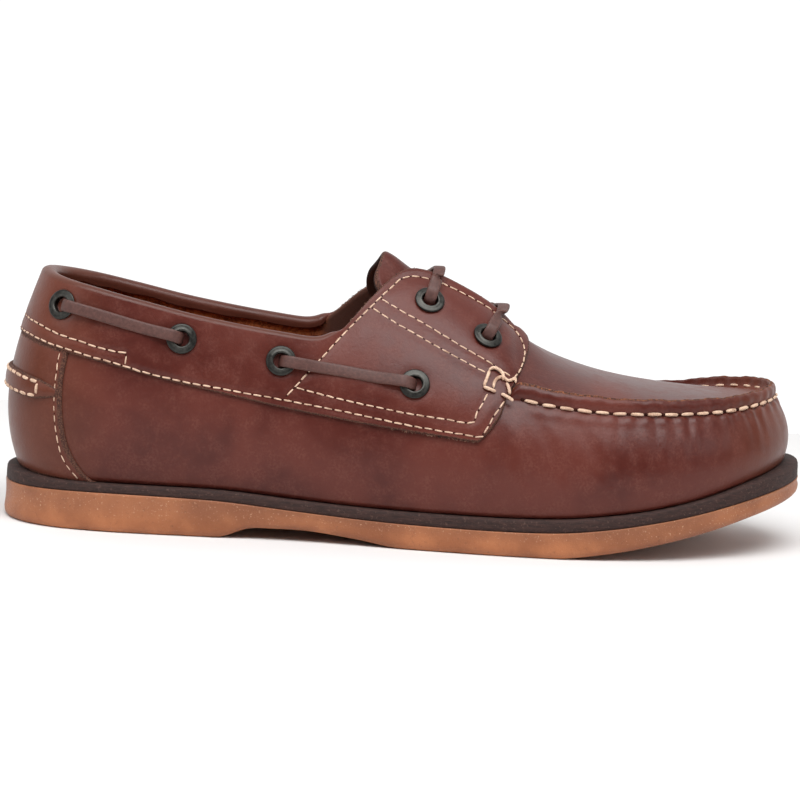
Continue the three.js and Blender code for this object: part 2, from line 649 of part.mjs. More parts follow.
function thong(points, wideDirections) {
  const path = new THREE.CatmullRomCurve3(points);
  const wides = new THREE.CatmullRomCurve3(wideDirections);
  const steps = LACE_STOPS.length - 1;
  const [w, t] = [LACE.wide / 2, LACE.thick / 2];
  const corner = 0.5;
  const profile = [[-w, -t + corner], [-w, t - corner], [-w + corner, t], [w - corner, t],
    [w, t - corner], [w, -t + corner], [w - corner, -t], [-w + corner, -t]];
  const list = [];
  for (let k = 0; k <= steps; k += 1) {
    const u = LACE_STOPS[k] / LACE_STOPS[steps];
    const centre = path.getPoint(u);
    const forward = path.getTangent(u);
    const wide = wides.getPoint(u);
    wide.addScaledVector(forward, -wide.dot(forward)).normalize();
    const up = wide.clone().cross(forward).normalize();
    list.push(profile.map(([a, b]) => centre.clone().addScaledVector(wide, a).addScaledVector(up, b)));
  }
  const n = profile.length;
  const points_ = list.flat();
  const triangles = [];
  for (let k = 0; k < steps; k += 1) {
    for (let i = 0; i < n; i += 1) {
      const j = (i + 1) % n;
      triangles.push(k * n + i, k * n + j, (k + 1) * n + j, k * n + i, (k + 1) * n + j, (k + 1) * n + i);
    }
  }
  const end = steps * n;
  for (let i = 1; i < n - 1; i += 1) triangles.push(0, i + 1, i, end, end + i, end + i + 1);
  return solidOf(points_, triangles);
}

const find = (short, side) => eyeletSeats.find((s) => s.short === short && s.side === side);

// The lace's way through an eyelet: from inside the shoe, up the bore and out over the flange
const laceLift = (s) => s.panel + 5 * GAP + EYELET.thick + LACE.thick / 2;
const laceInside = (s) => s.point.clone().addScaledVector(s.out, -WALL + 0.2);
const laceBore = (s) => s.point.clone().addScaledVector(s.out, s.panel + 0.9);
const laceMouth = (s, leaving) => s.point.clone().addScaledVector(s.out, laceLift(s)).addScaledVector(leaving, 2.4);
const inPlane = (direction, out) => direction.clone().addScaledVector(out, -direction.dot(out)).normalize();

// A stretch of lace along the outside of the shoe, from one eyelet to the next
function sideLace(fromName, toName, side) {
  const [a, b] = [find(fromName, side), find(toName, side)];
  const chord = b.point.clone().sub(a.point);
  const [leaveA, leaveB] = [inPlane(chord, a.out), inPlane(chord, b.out)];
  const middle = [0.25, 0.5, 0.75].map((share) => {
    const p = a.point.clone().lerp(b.point, share);
    const on = seat(p.x, side, p.z);
    // The heel curves away under the lace, so it stands a little higher near the rear eyelet
    const bridge = fromName === 'collar_back' ? 1.6 * (1 - share) ** 2 : 0;
    return on.point.addScaledVector(on.out, THREE.MathUtils.lerp(laceLift(a), laceLift(b), share) + bridge);
  });
  const wideA = a.out.clone().cross(leaveA).normalize();
  const wideB = b.out.clone().cross(leaveB).normalize();
  return thong(
    [laceInside(a), laceBore(a), laceMouth(a, leaveA), ...middle, laceMouth(b, leaveB.negate()), laceBore(b),
      laceInside(b)],
    [wideA, wideA, wideA, wideA, wideA.clone().lerp(wideB, 0.5), wideB, wideB, wideB, wideB],
  );
}

// A bar of lace over the throat, between the two eyelets of a pair
function crossing(shortName, forward, crown) {
  const half = (side) => {
    const s = find(shortName, side);
    const edge_ = surface(s.point.x + forward, side, 2);
    const out = normal(s.point.x + forward, side, 2);
    const over = edge_.addScaledVector(out, s.panel + 4 * GAP + LACE.thick / 2);
      const leaving = inPlane(over.clone().sub(s.point), s.out);
    const wide = s.out.clone().cross(leaving).multiplyScalar(-side).normalize();
    return { path: [laceInside(s), laceBore(s), laceMouth(s, leaving), over], wide };
  };
  const [a, b] = [half(-1), half(1)];
  const top = a.path[3].clone().add(b.path[3]).multiplyScalar(0.5);
  top.z += crown;
  const middle = new THREE.Vector3(1, 0, 0);
  return thong(
    [...a.path, top, ...b.path.reverse()],
    [a.wide, a.wide, a.wide, middle, middle, middle, b.wide, b.wide, b.wide],
  );
}

add('outsole', outsole(), RUBBER);
add('midsole', midsole(), DARK_FOAM);
add('insole', insole(), LINING);
add('upper', punched(upper()), LEATHER);
add('tongue', tongue(), LEATHER);
add('collar_band', punched(collarBand()), BAND_LEATHER);
add('counter', counter(), LEATHER);
add('heel_strap', heelStrap(), BAND_LEATHER);
for (const [word, side] of SIDES) {
  add(`saddle_${word}`, punched(saddle(side)), BAND_LEATHER);
  add(`lace_back_${word}`, sideLace('collar_back', 'collar_side', side), LACE_LEATHER);
  add(`lace_side_${word}`, sideLace('collar_front', 'saddle_side', side), LACE_LEATHER);
}
add('lace_bar_top', crossing('throat_top', 3.0, 0.5), LACE_LEATHER);
add('lace_bar_low', crossing('throat_low', 5.4, 0.5), LACE_LEATHER);
for (const place_ of eyeletSeats) {
  add(place_.name, onto(eyeletSolid(place_.panel), place_), BRONZE);
}

// The part's origin is the middle of its footprint on the floor
const size = new THREE.Box3().setFromObject(shoe);
const middle = size.getCenter(new THREE.Vector3());
for (const mesh of shoe.children) mesh.geometry.translate(-middle.x, -middle.y, -size.min.z);

export default shoe;
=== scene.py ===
# %% [markdown]
# A boat shoe, dressed in leather and thread
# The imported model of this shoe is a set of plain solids: a sole, a hollow upper, its panels, a lace and
# its eyelets. This lesson lays finer surfaces over them. Each surface is a function of two parameters,
# worked out as whole numpy arrays, and each finish is a small tree of shader nodes.

import bmesh
import bpy
import numpy as np
from mathutils import Matrix, Vector


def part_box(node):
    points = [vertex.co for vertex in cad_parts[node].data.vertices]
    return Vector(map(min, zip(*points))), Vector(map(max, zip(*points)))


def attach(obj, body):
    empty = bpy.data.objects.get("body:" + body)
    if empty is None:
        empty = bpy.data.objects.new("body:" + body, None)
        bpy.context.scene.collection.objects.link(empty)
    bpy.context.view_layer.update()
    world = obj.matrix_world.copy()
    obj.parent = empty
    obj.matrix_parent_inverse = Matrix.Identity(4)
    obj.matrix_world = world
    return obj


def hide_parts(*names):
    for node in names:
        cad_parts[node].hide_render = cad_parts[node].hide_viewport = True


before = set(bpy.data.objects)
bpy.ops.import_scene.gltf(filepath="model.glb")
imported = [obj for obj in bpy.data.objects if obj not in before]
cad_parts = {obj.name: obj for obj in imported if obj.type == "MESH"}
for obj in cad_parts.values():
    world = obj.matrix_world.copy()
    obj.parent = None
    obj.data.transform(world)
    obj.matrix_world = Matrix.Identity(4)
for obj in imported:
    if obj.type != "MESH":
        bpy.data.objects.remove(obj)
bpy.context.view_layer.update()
print("nodes in the frame:", len(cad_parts))

# %% [markdown]
# Where the shoe lies in the frame
# A shoe is drawn from its heel: x runs forwards from the back of the sole, y across it and z up from the
# floor, in millimetres. The frame has its origin under the middle of the shoe instead, so the sole's own
# box gives the two shifts between them.

# %% The shoe's own axes
MM = 0.001
SOLE_LOW, SOLE_HIGH = (np.array(corner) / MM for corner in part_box("outsole"))
LENGTH = SOLE_HIGH[0] - SOLE_LOW[0]
BALL_HALF_LATERAL = 53.94
SHIFT = np.array([SOLE_LOW[0], SOLE_LOW[1] + BALL_HALF_LATERAL, 0.0])
LATERAL, MEDIAL = -1, 1
SIDES = {LATERAL: "lateral", MEDIAL: "medial"}
print("sole length", round(LENGTH, 1), "mm, shift", SHIFT.round(2))

# %% [markdown]
# The photographer's camera
# Product pictures are taken from far away with a long lens, so that near and far parts keep their size.
# This one looks at the shoe's outer side from a little above and a little behind, and it is rolled by
# three degrees, which makes the floor seem to fall towards the toe.

# %% Camera
CAMERA_TURN = np.radians(-5.0)
CAMERA_RISE = np.radians(8.5)
CAMERA_ROLL = np.radians(-3.2)
CAMERA_AWAY = 1400.0
CAMERA_AIM = np.array([150.0, 0.0, 45.0])
PIXELS_PER_MM = 2.6587
IMAGE_SIDE = 800.0
AIM_PIXEL = np.array([409.5, 409.9])
SENSOR = 36.0


def camera_axes():
    """Right, up and back of the camera: turned and raised, then rolled about its own line of sight."""
    turn, rise, roll = CAMERA_TURN, CAMERA_RISE, CAMERA_ROLL
    back = np.array([np.sin(turn) * np.cos(rise), -np.cos(turn) * np.cos(rise), np.sin(rise)])
    right = np.array([np.cos(turn), np.sin(turn), 0.0])
    up = np.cross(back, right)
    rolled_right = np.cos(roll) * right - np.sin(roll) * up
    rolled_up = np.sin(roll) * right + np.cos(roll) * up
    return rolled_right, rolled_up, back


def make_camera():
    """A camera whose aim and scale put the shoe where the picture shows it."""
    right, up, back = camera_axes()
    data = bpy.data.cameras.new("camera")
    data.sensor_width = SENSOR
    data.lens = PIXELS_PER_MM * CAMERA_AWAY / IMAGE_SIDE * SENSOR
    data.shift_x = -(AIM_PIXEL[0] - IMAGE_SIDE / 2) / IMAGE_SIDE
    data.shift_y = (AIM_PIXEL[1] - IMAGE_SIDE / 2) / IMAGE_SIDE
    camera = bpy.data.objects.new("camera", data)
    eye = (CAMERA_AIM + SHIFT + back * CAMERA_AWAY) * MM
    matrix = np.eye(4)
    matrix[:3] = np.stack([right, up, back, eye], -1)
    camera.matrix_world = Matrix(matrix.tolist())
    bpy.context.scene.collection.objects.link(camera)
    bpy.context.scene.camera = camera
    return camera


CAMERA = make_camera()
print("lens", round(CAMERA.data.lens, 1), "mm")

# %% [markdown]
# Curves through short tables
# A last is described by a few sections along the foot. A cubic that never overshoots joins the rows of a
# table, and a light blur takes out the small jumps in curvature that polished leather would show.


# %% Smooth curves
def steady_cubic(xs, ys, at):
    """The monotone cubic through (xs, ys): a point's slope is the harmonic mean of those beside it."""
    xs, ys = np.asarray(xs, float), np.asarray(ys, float)
    step = np.diff(xs)
    slope = np.diff(ys) / step
    before, after = slope[:-1], slope[1:]
    w1, w2 = 2 * step[1:] + step[:-1], step[1:] + 2 * step[:-1]
    with np.errstate(divide="ignore", invalid="ignore"):
        inner = np.where(before * after > 0, (w1 + w2) / (w1 / before + w2 / after), 0.0)
    tangent = np.concatenate([[slope[0]], inner, [slope[-1]]])
    at = np.clip(at, xs[0], xs[-1])
    i = np.clip(np.searchsorted(xs, at, side="right") - 1, 0, len(xs) - 2)
    h = step[i]
    t = (at - xs[i]) / h
    rise = t * t * (3 - 2 * t)
    bend = t * (1 - t) ** 2 * tangent[i] - t * t * (1 - t) * tangent[i + 1]
    return ys[i] * (1 - rise) + ys[i + 1] * rise + h * bend


def blurred(values, width):
    """Each value becomes the bell-weighted mean of those within three widths of it."""
    reach = int(np.ceil(3 * width))
    if reach < 1:
        return values
    bell = np.exp(-0.5 * (np.arange(-reach, reach + 1) / width) ** 2)
    padded = np.concatenate([
        2 * values[0] - values[1:reach + 1][::-1], values, 2 * values[-1] - values[-reach - 1:-1][::-1],
    ])
    return np.convolve(padded, bell / bell.sum(), mode="valid")


def table_curve(table, name, blur=4.0):
    """A function of x: the steady cubic through the table's column, blurred over a few millimetres."""
    xs = [row["x"] for row in table]
    grid = np.arange(xs[0], xs[-1] + 0.25, 0.5)
    smooth = blurred(steady_cubic(xs, [row[name] for row in table], grid), blur / 0.5)
    return lambda x: np.interp(x, grid, smooth)


def table_of(names, rows):
    """A short table: each row becomes a dict under the names of its columns."""
    return [dict(zip(names.split(), row)) for row in rows]


def columns(table, names, blur=4.0):
    """One smooth function for each named column."""
    return {name: table_curve(table, name, blur) for name in names.split()}


def ease(x, low, high):
    """Rises smoothly from 0 at low to 1 at high."""
    t = np.clip((x - low) / (high - low), 0, 1)
    return t * t * (3 - 2 * t)


def mix(a, b, share):
    """From a to b as share goes from 0 to 1."""
    return a * (1 - share) + b * share


def unit(vectors):
    """Vectors divided by their own length."""
    return vectors / np.maximum(np.linalg.norm(vectors, axis=-1, keepdims=True), 1e-9)


def run_along(points):
    """Length along a line of points, from 0: the running sum of its steps' lengths."""
    return np.concatenate([[0], np.cumsum(np.linalg.norm(np.diff(points, axis=0), axis=1))])


def bow(a, b, c, d, t):
    """The cubic of four controls: a at t = 0, d at t = 1, drawn towards b and c between them."""
    s = 1 - t
    return a * s**3 + 3 * b * t * s * s + 3 * c * t * t * s + d * t**3


print("ease goes through", [round(float(ease(x, 0, 4)), 2) for x in range(5)])

# %% [markdown]
# The sole in plan and from the side
# The outline is given by its half widths on each side of the foot's line, and the side view by the heights
# of the ground, of the joint between rubber and midsole, and of the midsole's top. Angles run round the
# sole from the heel (0) over the outer side to the toe, so both ends come out round.

# %% Sole tables
TIP_Y = 5.0
TOE_BEND = 180
OUTLINE = table_of("x lateral medial", [
    (6, 19.5, 19.0), (20, 30.0, 29.0), (45, 35.5, 34.0), (75, 37.0, 34.0), (105, 39.0, 32.5),
    (140, 44.5, 35.0), (175, 51.0, 43.5), (208, 54.0, 50.5), (240, 51.0, 50.5), (265, 42.0, 44.5),
    (284, 28.5, 34.5), (295, 13.5, 23.0),
])
SOLE = table_of("x ground joint seat", [
    (0, 0, 13.6, 19.2), (20, 0, 14.2, 17.8), (40, 0, 14.4, 17.8), (78, 0, 13.7, 17.6),
    (92, 4.2, 12.6, 16.6), (107, 4.3, 11.3, 15.4), (130, 2.2, 9.9, 14.2), (146, 0, 9.3, 13.8),
    (175, 0, 9.1, 13.8), (200, 0, 9.5, 14.4), (220, 2.2, 11.4, 16.2), (238, 5.6, 14.2, 18.8),
    (258, 10.2, 18.0, 23.0), (278, 15.4, 22.4, 28.3), (300, 20.5, 26.4, 32.6),
])
sole = {
    "ground": table_curve(SOLE, "ground", 1.5),
    "joint": table_curve(SOLE, "joint", 5.0),
    "seat": table_curve(SOLE, "seat", 5.0),
}
print("midsole top at the heel", round(float(sole["seat"](0)), 1), "mm")

# %% [markdown]
# Angles instead of lengths
# An angle says where a section stands, so that heel and toe get as many sections as the straight sides
# and still come out round. The outline is read over the angle once round, as a closed loop.

# %% Angles round the sole
def station(theta):
    """The distance from the heel at an angle: half the length times one less the cosine."""
    return LENGTH / 2 * (1 - np.cos(theta))


def angle_at(x, side):
    """The angle of a station on one side: positive on the outer side, negative on the inner side."""
    turn = np.arccos(np.clip(1 - 2 * np.asarray(x, float) / LENGTH, -1, 1))
    return np.where(side < 0, turn, -turn)


def outline_function():
    """Half widths as y over the angle, once round, made steady and then blurred as a closed loop."""
    turn = [float(angle_at(row["x"], LATERAL)) for row in OUTLINE]
    outer = [-row["lateral"] for row in OUTLINE]
    inner = [row["medial"] for row in OUTLINE]
    angles = [-np.pi] + [-t for t in turn[::-1]] + [0.0] + turn + [np.pi]
    ys = [TIP_Y] + inner[::-1] + [0.0] + outer + [TIP_Y]
    full = 2 * np.pi
    knots = [a - full for a in angles[-4:-1]] + angles + [a + full for a in angles[1:4]]
    values = ys[-4:-1] + ys + ys[1:4]
    grid = np.linspace(-np.pi, np.pi, 2001)
    loop = steady_cubic(knots, values, grid)[:-1]
    width = 0.06 / (grid[1] - grid[0])
    reach = int(3 * width)
    wide = blurred(np.concatenate([loop[-2 * reach:], loop, loop[:2 * reach]]), width)
    smooth = wide[2 * reach:-2 * reach]
    return lambda theta: np.interp(theta, grid[:-1], smooth, period=full)


outline_y = outline_function()
SPINE = table_of("x spine", [
    (0, 36), (30, 44), (60, 62), (75, 75), (95, 95), (205, 205), (222, 221.5), (240, 235), (262, 246),
    (300, 252),
])
spine = table_curve(SPINE, "spine", 3.0)


def inward(theta):
    """Plan direction of a section: from the sole's edge towards the foot's line, fanned at heel and toe."""
    x = station(theta)
    start = np.stack([x, outline_y(theta)], -1)
    goal = np.stack([spine(x), TIP_Y * ease(x, TOE_BEND, LENGTH)], -1)
    return start, unit(goal - start)


def place(theta, inset, z):
    """The point at an inset from the sole's edge and a height: edge + inset times the inward direction."""
    start, line = inward(theta)
    flat = start + line * np.asarray(inset)[..., None]
    z = np.broadcast_to(z, flat.shape[:-1])
    return np.concatenate([flat, z[..., None]], -1)


BALL_TURN = angle_at(208, LATERAL)
print("ball width", round(float(outline_y(-BALL_TURN) - outline_y(BALL_TURN)), 1), "mm")

# %% [markdown]
# The upper's sections
# A shoemaker's last has a section at every station along the foot. Here each one is a cubic from the sole
# up to the collar, the throat or the moccasin seam. The apron on top is a height over the plan instead,
# a dome that falls from the instep to the toe.

# %% Upper tables
THROAT_X = 186.0
THROAT_HALF = 8.4
SEAM_LEVEL = 56.4
SEAT_GAP = 0.3
WALL = 2.2
RIDGE_FOOT = 1.2
QUARTER = table_of("x foot low high lateral medial top drop", [
    (0, 5.6, -4.5, 3.8, 12.2, 12.2, 91.0, 0), (10, 5.0, -4.0, 2.6, 9.6, 9.6, 89.6, 0),
    (25, 4.2, -2.6, 1.8, 7.4, 7.2, 87.4, 0), (45, 3.8, -1.8, 1.6, 6.6, 6.0, 83.6, 0),
    (70, 3.5, -1.5, 1.8, 6.8, 5.2, 78.6, 0), (100, 3.2, -1.5, 2.4, 8.2, 4.6, 74.2, 0),
    (112, 3.1, -1.6, 3.0, 9.2, 4.4, 73.0, 0), (118, 3.1, -1.9, 3.8, 12.0, 5.2, 75.2, 0.2),
    (131, 3.1, -2.6, 5.0, 21.6, 12.6, 88.4, 1.2), (140, 3.1, -3.0, 6.4, 32.0, 22.4, 96.4, 2.4),
    (146, 3.1, -3.2, 7.4, 37.1, 27.6, 99.0, 2.8), (153, 3.0, -3.4, 8.0, 38.6, 29.2, 98.0, 3.0),
    (166, 3.0, -3.6, 6.4, 41.0, 32.8, 92.6, 3.0), (178, 3.0, -3.6, 2.6, 43.0, 35.8, 85.6, 2.6),
    (186, 3.0, -3.6, -1.2, 44.0, 37.9, 78.4, 1.4),
])
VAMP = table_of("x foot low high seam level drop", [
    (186, 3.0, -1.2, 0.0, 10.2, SEAM_LEVEL, 0.4), (200, 2.9, -1.0, 0.6, 9.4, 54.2, 1.0),
    (225, 2.9, -1.0, 0.8, 9.4, 52.6, 1.8), (250, 3.2, -0.4, 1.2, 9.6, 52.8, 1.8),
    (272, 4.0, 0.8, 2.2, 9.8, 53.6, 0.9), (290, 5.2, 2.6, 3.9, 10.6, 55.2, 0),
    (300, 6.3, 3.6, 4.9, 10.9, 55.8, 0),
])
CREST = table_of("x z", [
    (181, 80.6), (187, 76.8), (194, 72.6), (205, 67.8), (217, 63.8), (230, 60.9), (243, 59.0),
    (256, 57.8), (270, 57.2), (292, 57.0),
])
quarter = columns(QUARTER, "foot low high lateral medial drop")
quarter["top"] = table_curve(QUARTER, "top", 2.2)
vamp = columns(VAMP, "foot low high seam level drop", 6.0)
crest = table_curve(CREST, "z", 4.0)
print("rim at the heel", round(float(quarter["top"](0)), 1), "mm, crest", round(float(crest(187)), 1), "mm")

# %% [markdown]
# From tables to a surface
# Every section starts on the sole. The quarter's goes up to the rim, the vamp's to the moccasin seam, and
# the inner side's ends a little lower than the outer side's.


# %% The upper's sections
def levels(theta):
    """Heights of a section: its foot on the sole, the seam's level, and the quarter's top."""
    x, inner = station(theta), theta < 0
    level = SEAM_LEVEL - inner * vamp["drop"](THROAT_X)
    return sole["seat"](x) + SEAT_GAP, level, quarter["top"](x) - inner * quarter["drop"](x)


def quarter_point(theta, t):
    """The cubic section of the quarter at share t of its height, from the sole to the collar or throat."""
    x, inner = station(theta), theta < 0
    rim = np.where(inner, quarter["medial"](x), quarter["lateral"](x))
    high = quarter["high"](x) * np.where(inner, rim / quarter["lateral"](x), 1.0)
    low, _, top = levels(theta)
    return place(theta, bow(quarter["foot"](x), quarter["low"](x), high, rim, t), low + (top - low) * t)


def seam_level(theta):
    """Height of the moccasin seam, a little lower on the inner side."""
    x = station(theta)
    return vamp["level"](x) - (theta < 0) * vamp["drop"](x)


def vamp_point(theta, t):
    """The cubic section of the vamp at share t of its height, from the sole to the moccasin seam."""
    x = station(theta)
    low = sole["seat"](x) + SEAT_GAP
    inset = bow(vamp["foot"](x), vamp["low"](x), vamp["high"](x), vamp["seam"](x), t)
    return place(theta, inset, low + (seam_level(theta) - low) * t)


def seam_y_function(side):
    """The moccasin seam in plan on one side, as y over x."""
    start = np.arccos(1 - 2 * 176.0 / LENGTH)
    theta = np.linspace(start, np.pi, 400) * (1 if side < 0 else -1)
    points = vamp_point(theta, np.ones_like(theta))
    order = np.argsort(points[:, 0])
    xs, ys = points[order, 0], points[order, 1]
    return lambda x: np.interp(x, xs, ys)


SEAM_Y = {LATERAL: seam_y_function(LATERAL), MEDIAL: seam_y_function(MEDIAL)}


def apron_height(x, y):
    """A dome over the plan: it falls from crest to seam with a power of the distance across."""
    middle = TIP_Y * ease(x, TOE_BEND, LENGTH)
    outer = y < middle
    reach = np.where(outer, SEAM_Y[LATERAL](x), SEAM_Y[MEDIAL](x)) - middle
    share = np.clip(np.abs(y - middle) / np.maximum(np.abs(reach), 1e-3), 0, 1)
    crown = mix(1.6, 2.2, ease(x, THROAT_X, 215))
    low = vamp["level"](x) - np.where(outer, 0, vamp["drop"](x)) + RIDGE_FOOT
    return low + (crest(x) - low) * (1 - share**crown)


def throat_lift(x, y):
    """Beside the throat's end the leather stands up a little: most at the two corners, fading away."""
    side = np.where(y > 0, MEDIAL, LATERAL)
    level = quarter["top"](THROAT_X) - (side > 0) * quarter["drop"](THROAT_X)
    rise = level - apron_height(np.full_like(x, THROAT_X), side * THROAT_HALF)
    near = np.clip(np.abs(y) / THROAT_HALF, 0, 1) ** 2
    far = 1 - ease(np.abs(y), THROAT_HALF, 30)
    return rise * near * far * (1 - ease(x, THROAT_X + 2, THROAT_X + 18))


def throat_end(theta):
    """The throat's front end in plan, a shallow arc between the two saddles."""
    x = station(theta)
    share = np.clip((LENGTH - x) / (LENGTH - THROAT_X), 0, 1)
    y = np.where(theta < 0, 1, -1) * THROAT_HALF * np.sqrt(share)
    return np.stack([THROAT_X + 2.5 * (1 - (y / THROAT_HALF) ** 2), y], -1)


def on_apron(flat):
    """Places in plan raised to the apron's dome."""
    x, y = flat[..., 0], flat[..., 1]
    return np.stack([x, y, apron_height(x, y) + throat_lift(x, y)], -1)


def straight_end(theta):
    """The opening's edge for sections straight across, so that panels can reach past the throat's end."""
    x = station(theta)
    half = THROAT_HALF - 2.6 * ease(x, THROAT_X - 2, THROAT_X + 7)
    return np.stack([x, np.where(theta < 0, half, -half)], -1)


def shell(theta, v, end):
    """Quarter behind, vamp and apron in front, blended over a few millimetres where the throat ends."""
    theta, v = np.broadcast_arrays(np.asarray(theta, float), np.asarray(v, float))
    low, level, top = levels(theta)
    split = (level - low) / (top - low)
    back = quarter_point(theta, np.where(v < 1, v * split, split + (v - 1) * (1 - split)))
    wall, seam = vamp_point(theta, np.clip(v, 0, 1)), vamp_point(theta, np.ones_like(theta))
    over = np.clip(v - 1, 0, 1)[..., None]
    apron = on_apron(seam[..., :2] * (1 - over) + end(theta) * over)
    front = np.where((v <= 1)[..., None], wall, apron)
    return mix(back, front, ease(station(theta), THROAT_X - 4, THROAT_X + 3)[..., None])


def skin(theta, v):
    """The upper's outside: v runs 0 to 1 from the sole to the seam's level and 1 to 2 on to the opening."""
    return shell(theta, v, throat_end)


print("throat's end stands", round(float(skin(0.999 * np.pi, 2.0)[2]), 1), "mm high")

# %% [markdown]
# Meshes from grids
# Blender takes a mesh as one array of points and one of faces. A closed loft is a grid whose rows, columns
# or both wrap round; a patch is a thin plate with a top, a bottom and walls round its edge.


# %% Mesh helpers
def grid_faces(rows, cols, wrap_rows=False, wrap_cols=False, base=0):
    """Quads between neighbouring grid points, as indices into the flattened grid."""
    r = np.arange(rows if wrap_rows else rows - 1)
    c = np.arange(cols if wrap_cols else cols - 1)
    i, j = np.meshgrid(r, c, indexing="ij")
    i2, j2 = (i + 1) % rows, (j + 1) % cols
    corners = np.stack([i * cols + j, i * cols + j2, i2 * cols + j2, i2 * cols + j], -1)
    return corners.reshape(-1, 4) + base


WELD = 2e-7


def make_object(name, points, faces, floats=None):
    """A mesh from points in the shoe's millimetres, moved to the frame's metres, its seams welded."""
    mesh = bpy.data.meshes.new(name)
    placed = (np.asarray(points).reshape(-1, 3) + SHIFT) * MM
    faces = np.asarray(faces)
    mesh.vertices.add(len(placed))
    mesh.vertices.foreach_set("co", placed.astype(np.float32).ravel())
    mesh.loops.add(faces.size)
    mesh.loops.foreach_set("vertex_index", faces.astype(np.int32).ravel())
    mesh.polygons.add(len(faces))
    width = faces.shape[1]
    mesh.polygons.foreach_set("loop_start", np.arange(len(faces), dtype=np.int32) * width)
    mesh.polygons.foreach_set("loop_total", np.full(len(faces), width, np.int32))
    mesh.update(calc_edges=True)
    for key, values in (floats or {}).items():
        layer = mesh.attributes.new(key, "FLOAT", "POINT")
        layer.data.foreach_set("value", np.asarray(values, np.float32).ravel())
    welded = bmesh.new()
    welded.from_mesh(mesh)
    bmesh.ops.remove_doubles(welded, verts=welded.verts, dist=WELD)
    bmesh.ops.dissolve_degenerate(welded, edges=welded.edges, dist=WELD)
    welded.to_mesh(mesh)
    welded.free()
    mesh.validate()
    mesh.polygons.foreach_set("use_smooth", np.full(len(mesh.polygons), True))
    obj = bpy.data.objects.new(name, mesh)
    bpy.context.scene.collection.objects.link(obj)
    return obj


def signed_volume(points, faces):
    """Six times the volume inside quads that face outwards; negative when they face inwards."""
    a, b, c, d = (points[faces[:, k]] for k in range(4))
    return np.sum(np.cross(a, b) * c) + np.sum(np.cross(a, c) * d)


def outward(points, faces):
    """The faces, turned round if the volume inside them comes out negative."""
    flat = np.asarray(points).reshape(-1, 3)
    return faces if signed_volume(flat - flat.mean(0), faces) > 0 else faces[:, ::-1]


PIECES = {}


def keep(name, obj, node_names, finish):
    """Rides a piece on the shoe, hides the solids it stands for, and remembers its finish."""
    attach(obj, "root")
    if node_names:
        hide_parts(*node_names)
    PIECES[name] = (obj, finish)
    print(name, len(obj.data.polygons), "faces")


def loft(name, rows, faces, nodes, finish, floats=None):
    """A piece from rows of points and their faces, turned so that the faces look outwards."""
    obj = make_object(name, rows, outward(rows, faces), floats)
    keep(name, obj, nodes, finish)


# %% [markdown]
# The sole
# Three layers go under the foot: gum rubber outside, a dark midsole over it, and the insole inside. Each
# is a stack of rings round the sole, closed by drawing the last rings in to the foot's line.

# %% Rings round the sole
RING = np.linspace(-np.pi, np.pi, 481)[:-1]
UNDERSIDE_RINGS = 10
EDGE_ROUND = 2.8


def middle_line(theta, z):
    """The point of the foot's line that faces the edge at this angle."""
    x = np.clip(station(theta), 22, 268)
    return np.stack([x, TIP_Y * ease(x, TOE_BEND, LENGTH), z], -1)


def drawn_in(ring, steps):
    """Rings between an edge ring and the foot's line, for a flat face; heights follow the ring's own."""
    goal = middle_line(RING, ring[:, 2])
    shares = np.linspace(0, 1, steps + 1)[1:]
    return [ring * (1 - s) + goal * s for s in shares]


def sole_layer(name, rings, node, finish, floats=None):
    """Rings stacked from the underside to the top, each a closed loop."""
    faces = grid_faces(len(rings), len(RING), wrap_cols=True)
    loft(name, np.stack(rings), faces, [node], finish, floats)


print("points round the sole", len(RING))

# %% [markdown]
# Profiles of the three layers
# A layer's profile is a short list: how far in from the edge, and how high between its lower and its
# upper line. Small insets at the corners round them.

# %% Sole profiles
def outsole_rings():
    """Rubber: underside, rounded lower edge, a slightly hollow side wall, and the top under the midsole."""
    x = station(RING)
    ground, joint = sole["ground"](x), sole["joint"](x)
    walls = [
        (2.4, 0, 0.0), (1.5, 0, 0.12), (0.8, 0, 0.45), (0.35, 0, 1.0), (0.1, 0, 1.8),
        (0.0, 0, EDGE_ROUND),
    ]
    rings = [place(RING, np.full_like(x, inset), mix(ground, joint, s) + up) for inset, s, up in walls]
    for share in (0.35, 0.5, 0.65, 0.8, 0.9, 0.97):
        hollow = 0.35 * np.sin(np.pi * share)
        rings.append(place(RING, 0.2 * share + hollow + 0 * x, mix(ground + EDGE_ROUND, joint, share)))
    rings.append(place(RING, np.full_like(x, 0.5), joint))
    return drawn_in(rings[0], UNDERSIDE_RINGS)[::-1] + rings + drawn_in(rings[-1], 4)


def midsole_rings():
    """Midsole: flush at the joint, a blunt lip at the top that the upper sits on."""
    x = station(RING)
    joint, seat = sole["joint"](x) + 0.05, sole["seat"](x)
    parts = [(0.9, 0.0, 0.0), (0.45, 0.0, 0.25), (0.45, 0.3, 0.0), (0.5, 0.6, 0.0), (0.6, 0.8, 0.0),
             (0.9, 0.93, 0.0), (1.4, 0.99, 0.0), (2.2, 1.0, 0.0), (3.4, 1.0, -0.1), (6.0, 1.0, -0.1)]
    rings = [place(RING, np.full_like(x, inset), mix(joint, seat, s) + up) for inset, s, up in parts]
    return drawn_in(rings[0], 3)[::-1] + rings + drawn_in(rings[-1], 6)


def insole_rings():
    """Insole: a soft sheet with a rounded edge, dished a little under the heel and the ball."""
    x = station(RING)
    foot = np.where(x <= THROAT_X, quarter["foot"](x), vamp["foot"](x)) + WALL + 1.2
    seat = sole["seat"](x)
    parts = [(0.6, 0.3), (0.0, 1.2), (0.0, 2.6), (0.7, 3.3), (2.0, 3.5)]
    rings = [place(RING, foot + more, seat + up) for more, up in parts]
    return drawn_in(rings[0], 3)[::-1] + rings + drawn_in(rings[-1], 10)


print("rings of the outsole", len(outsole_rings()))

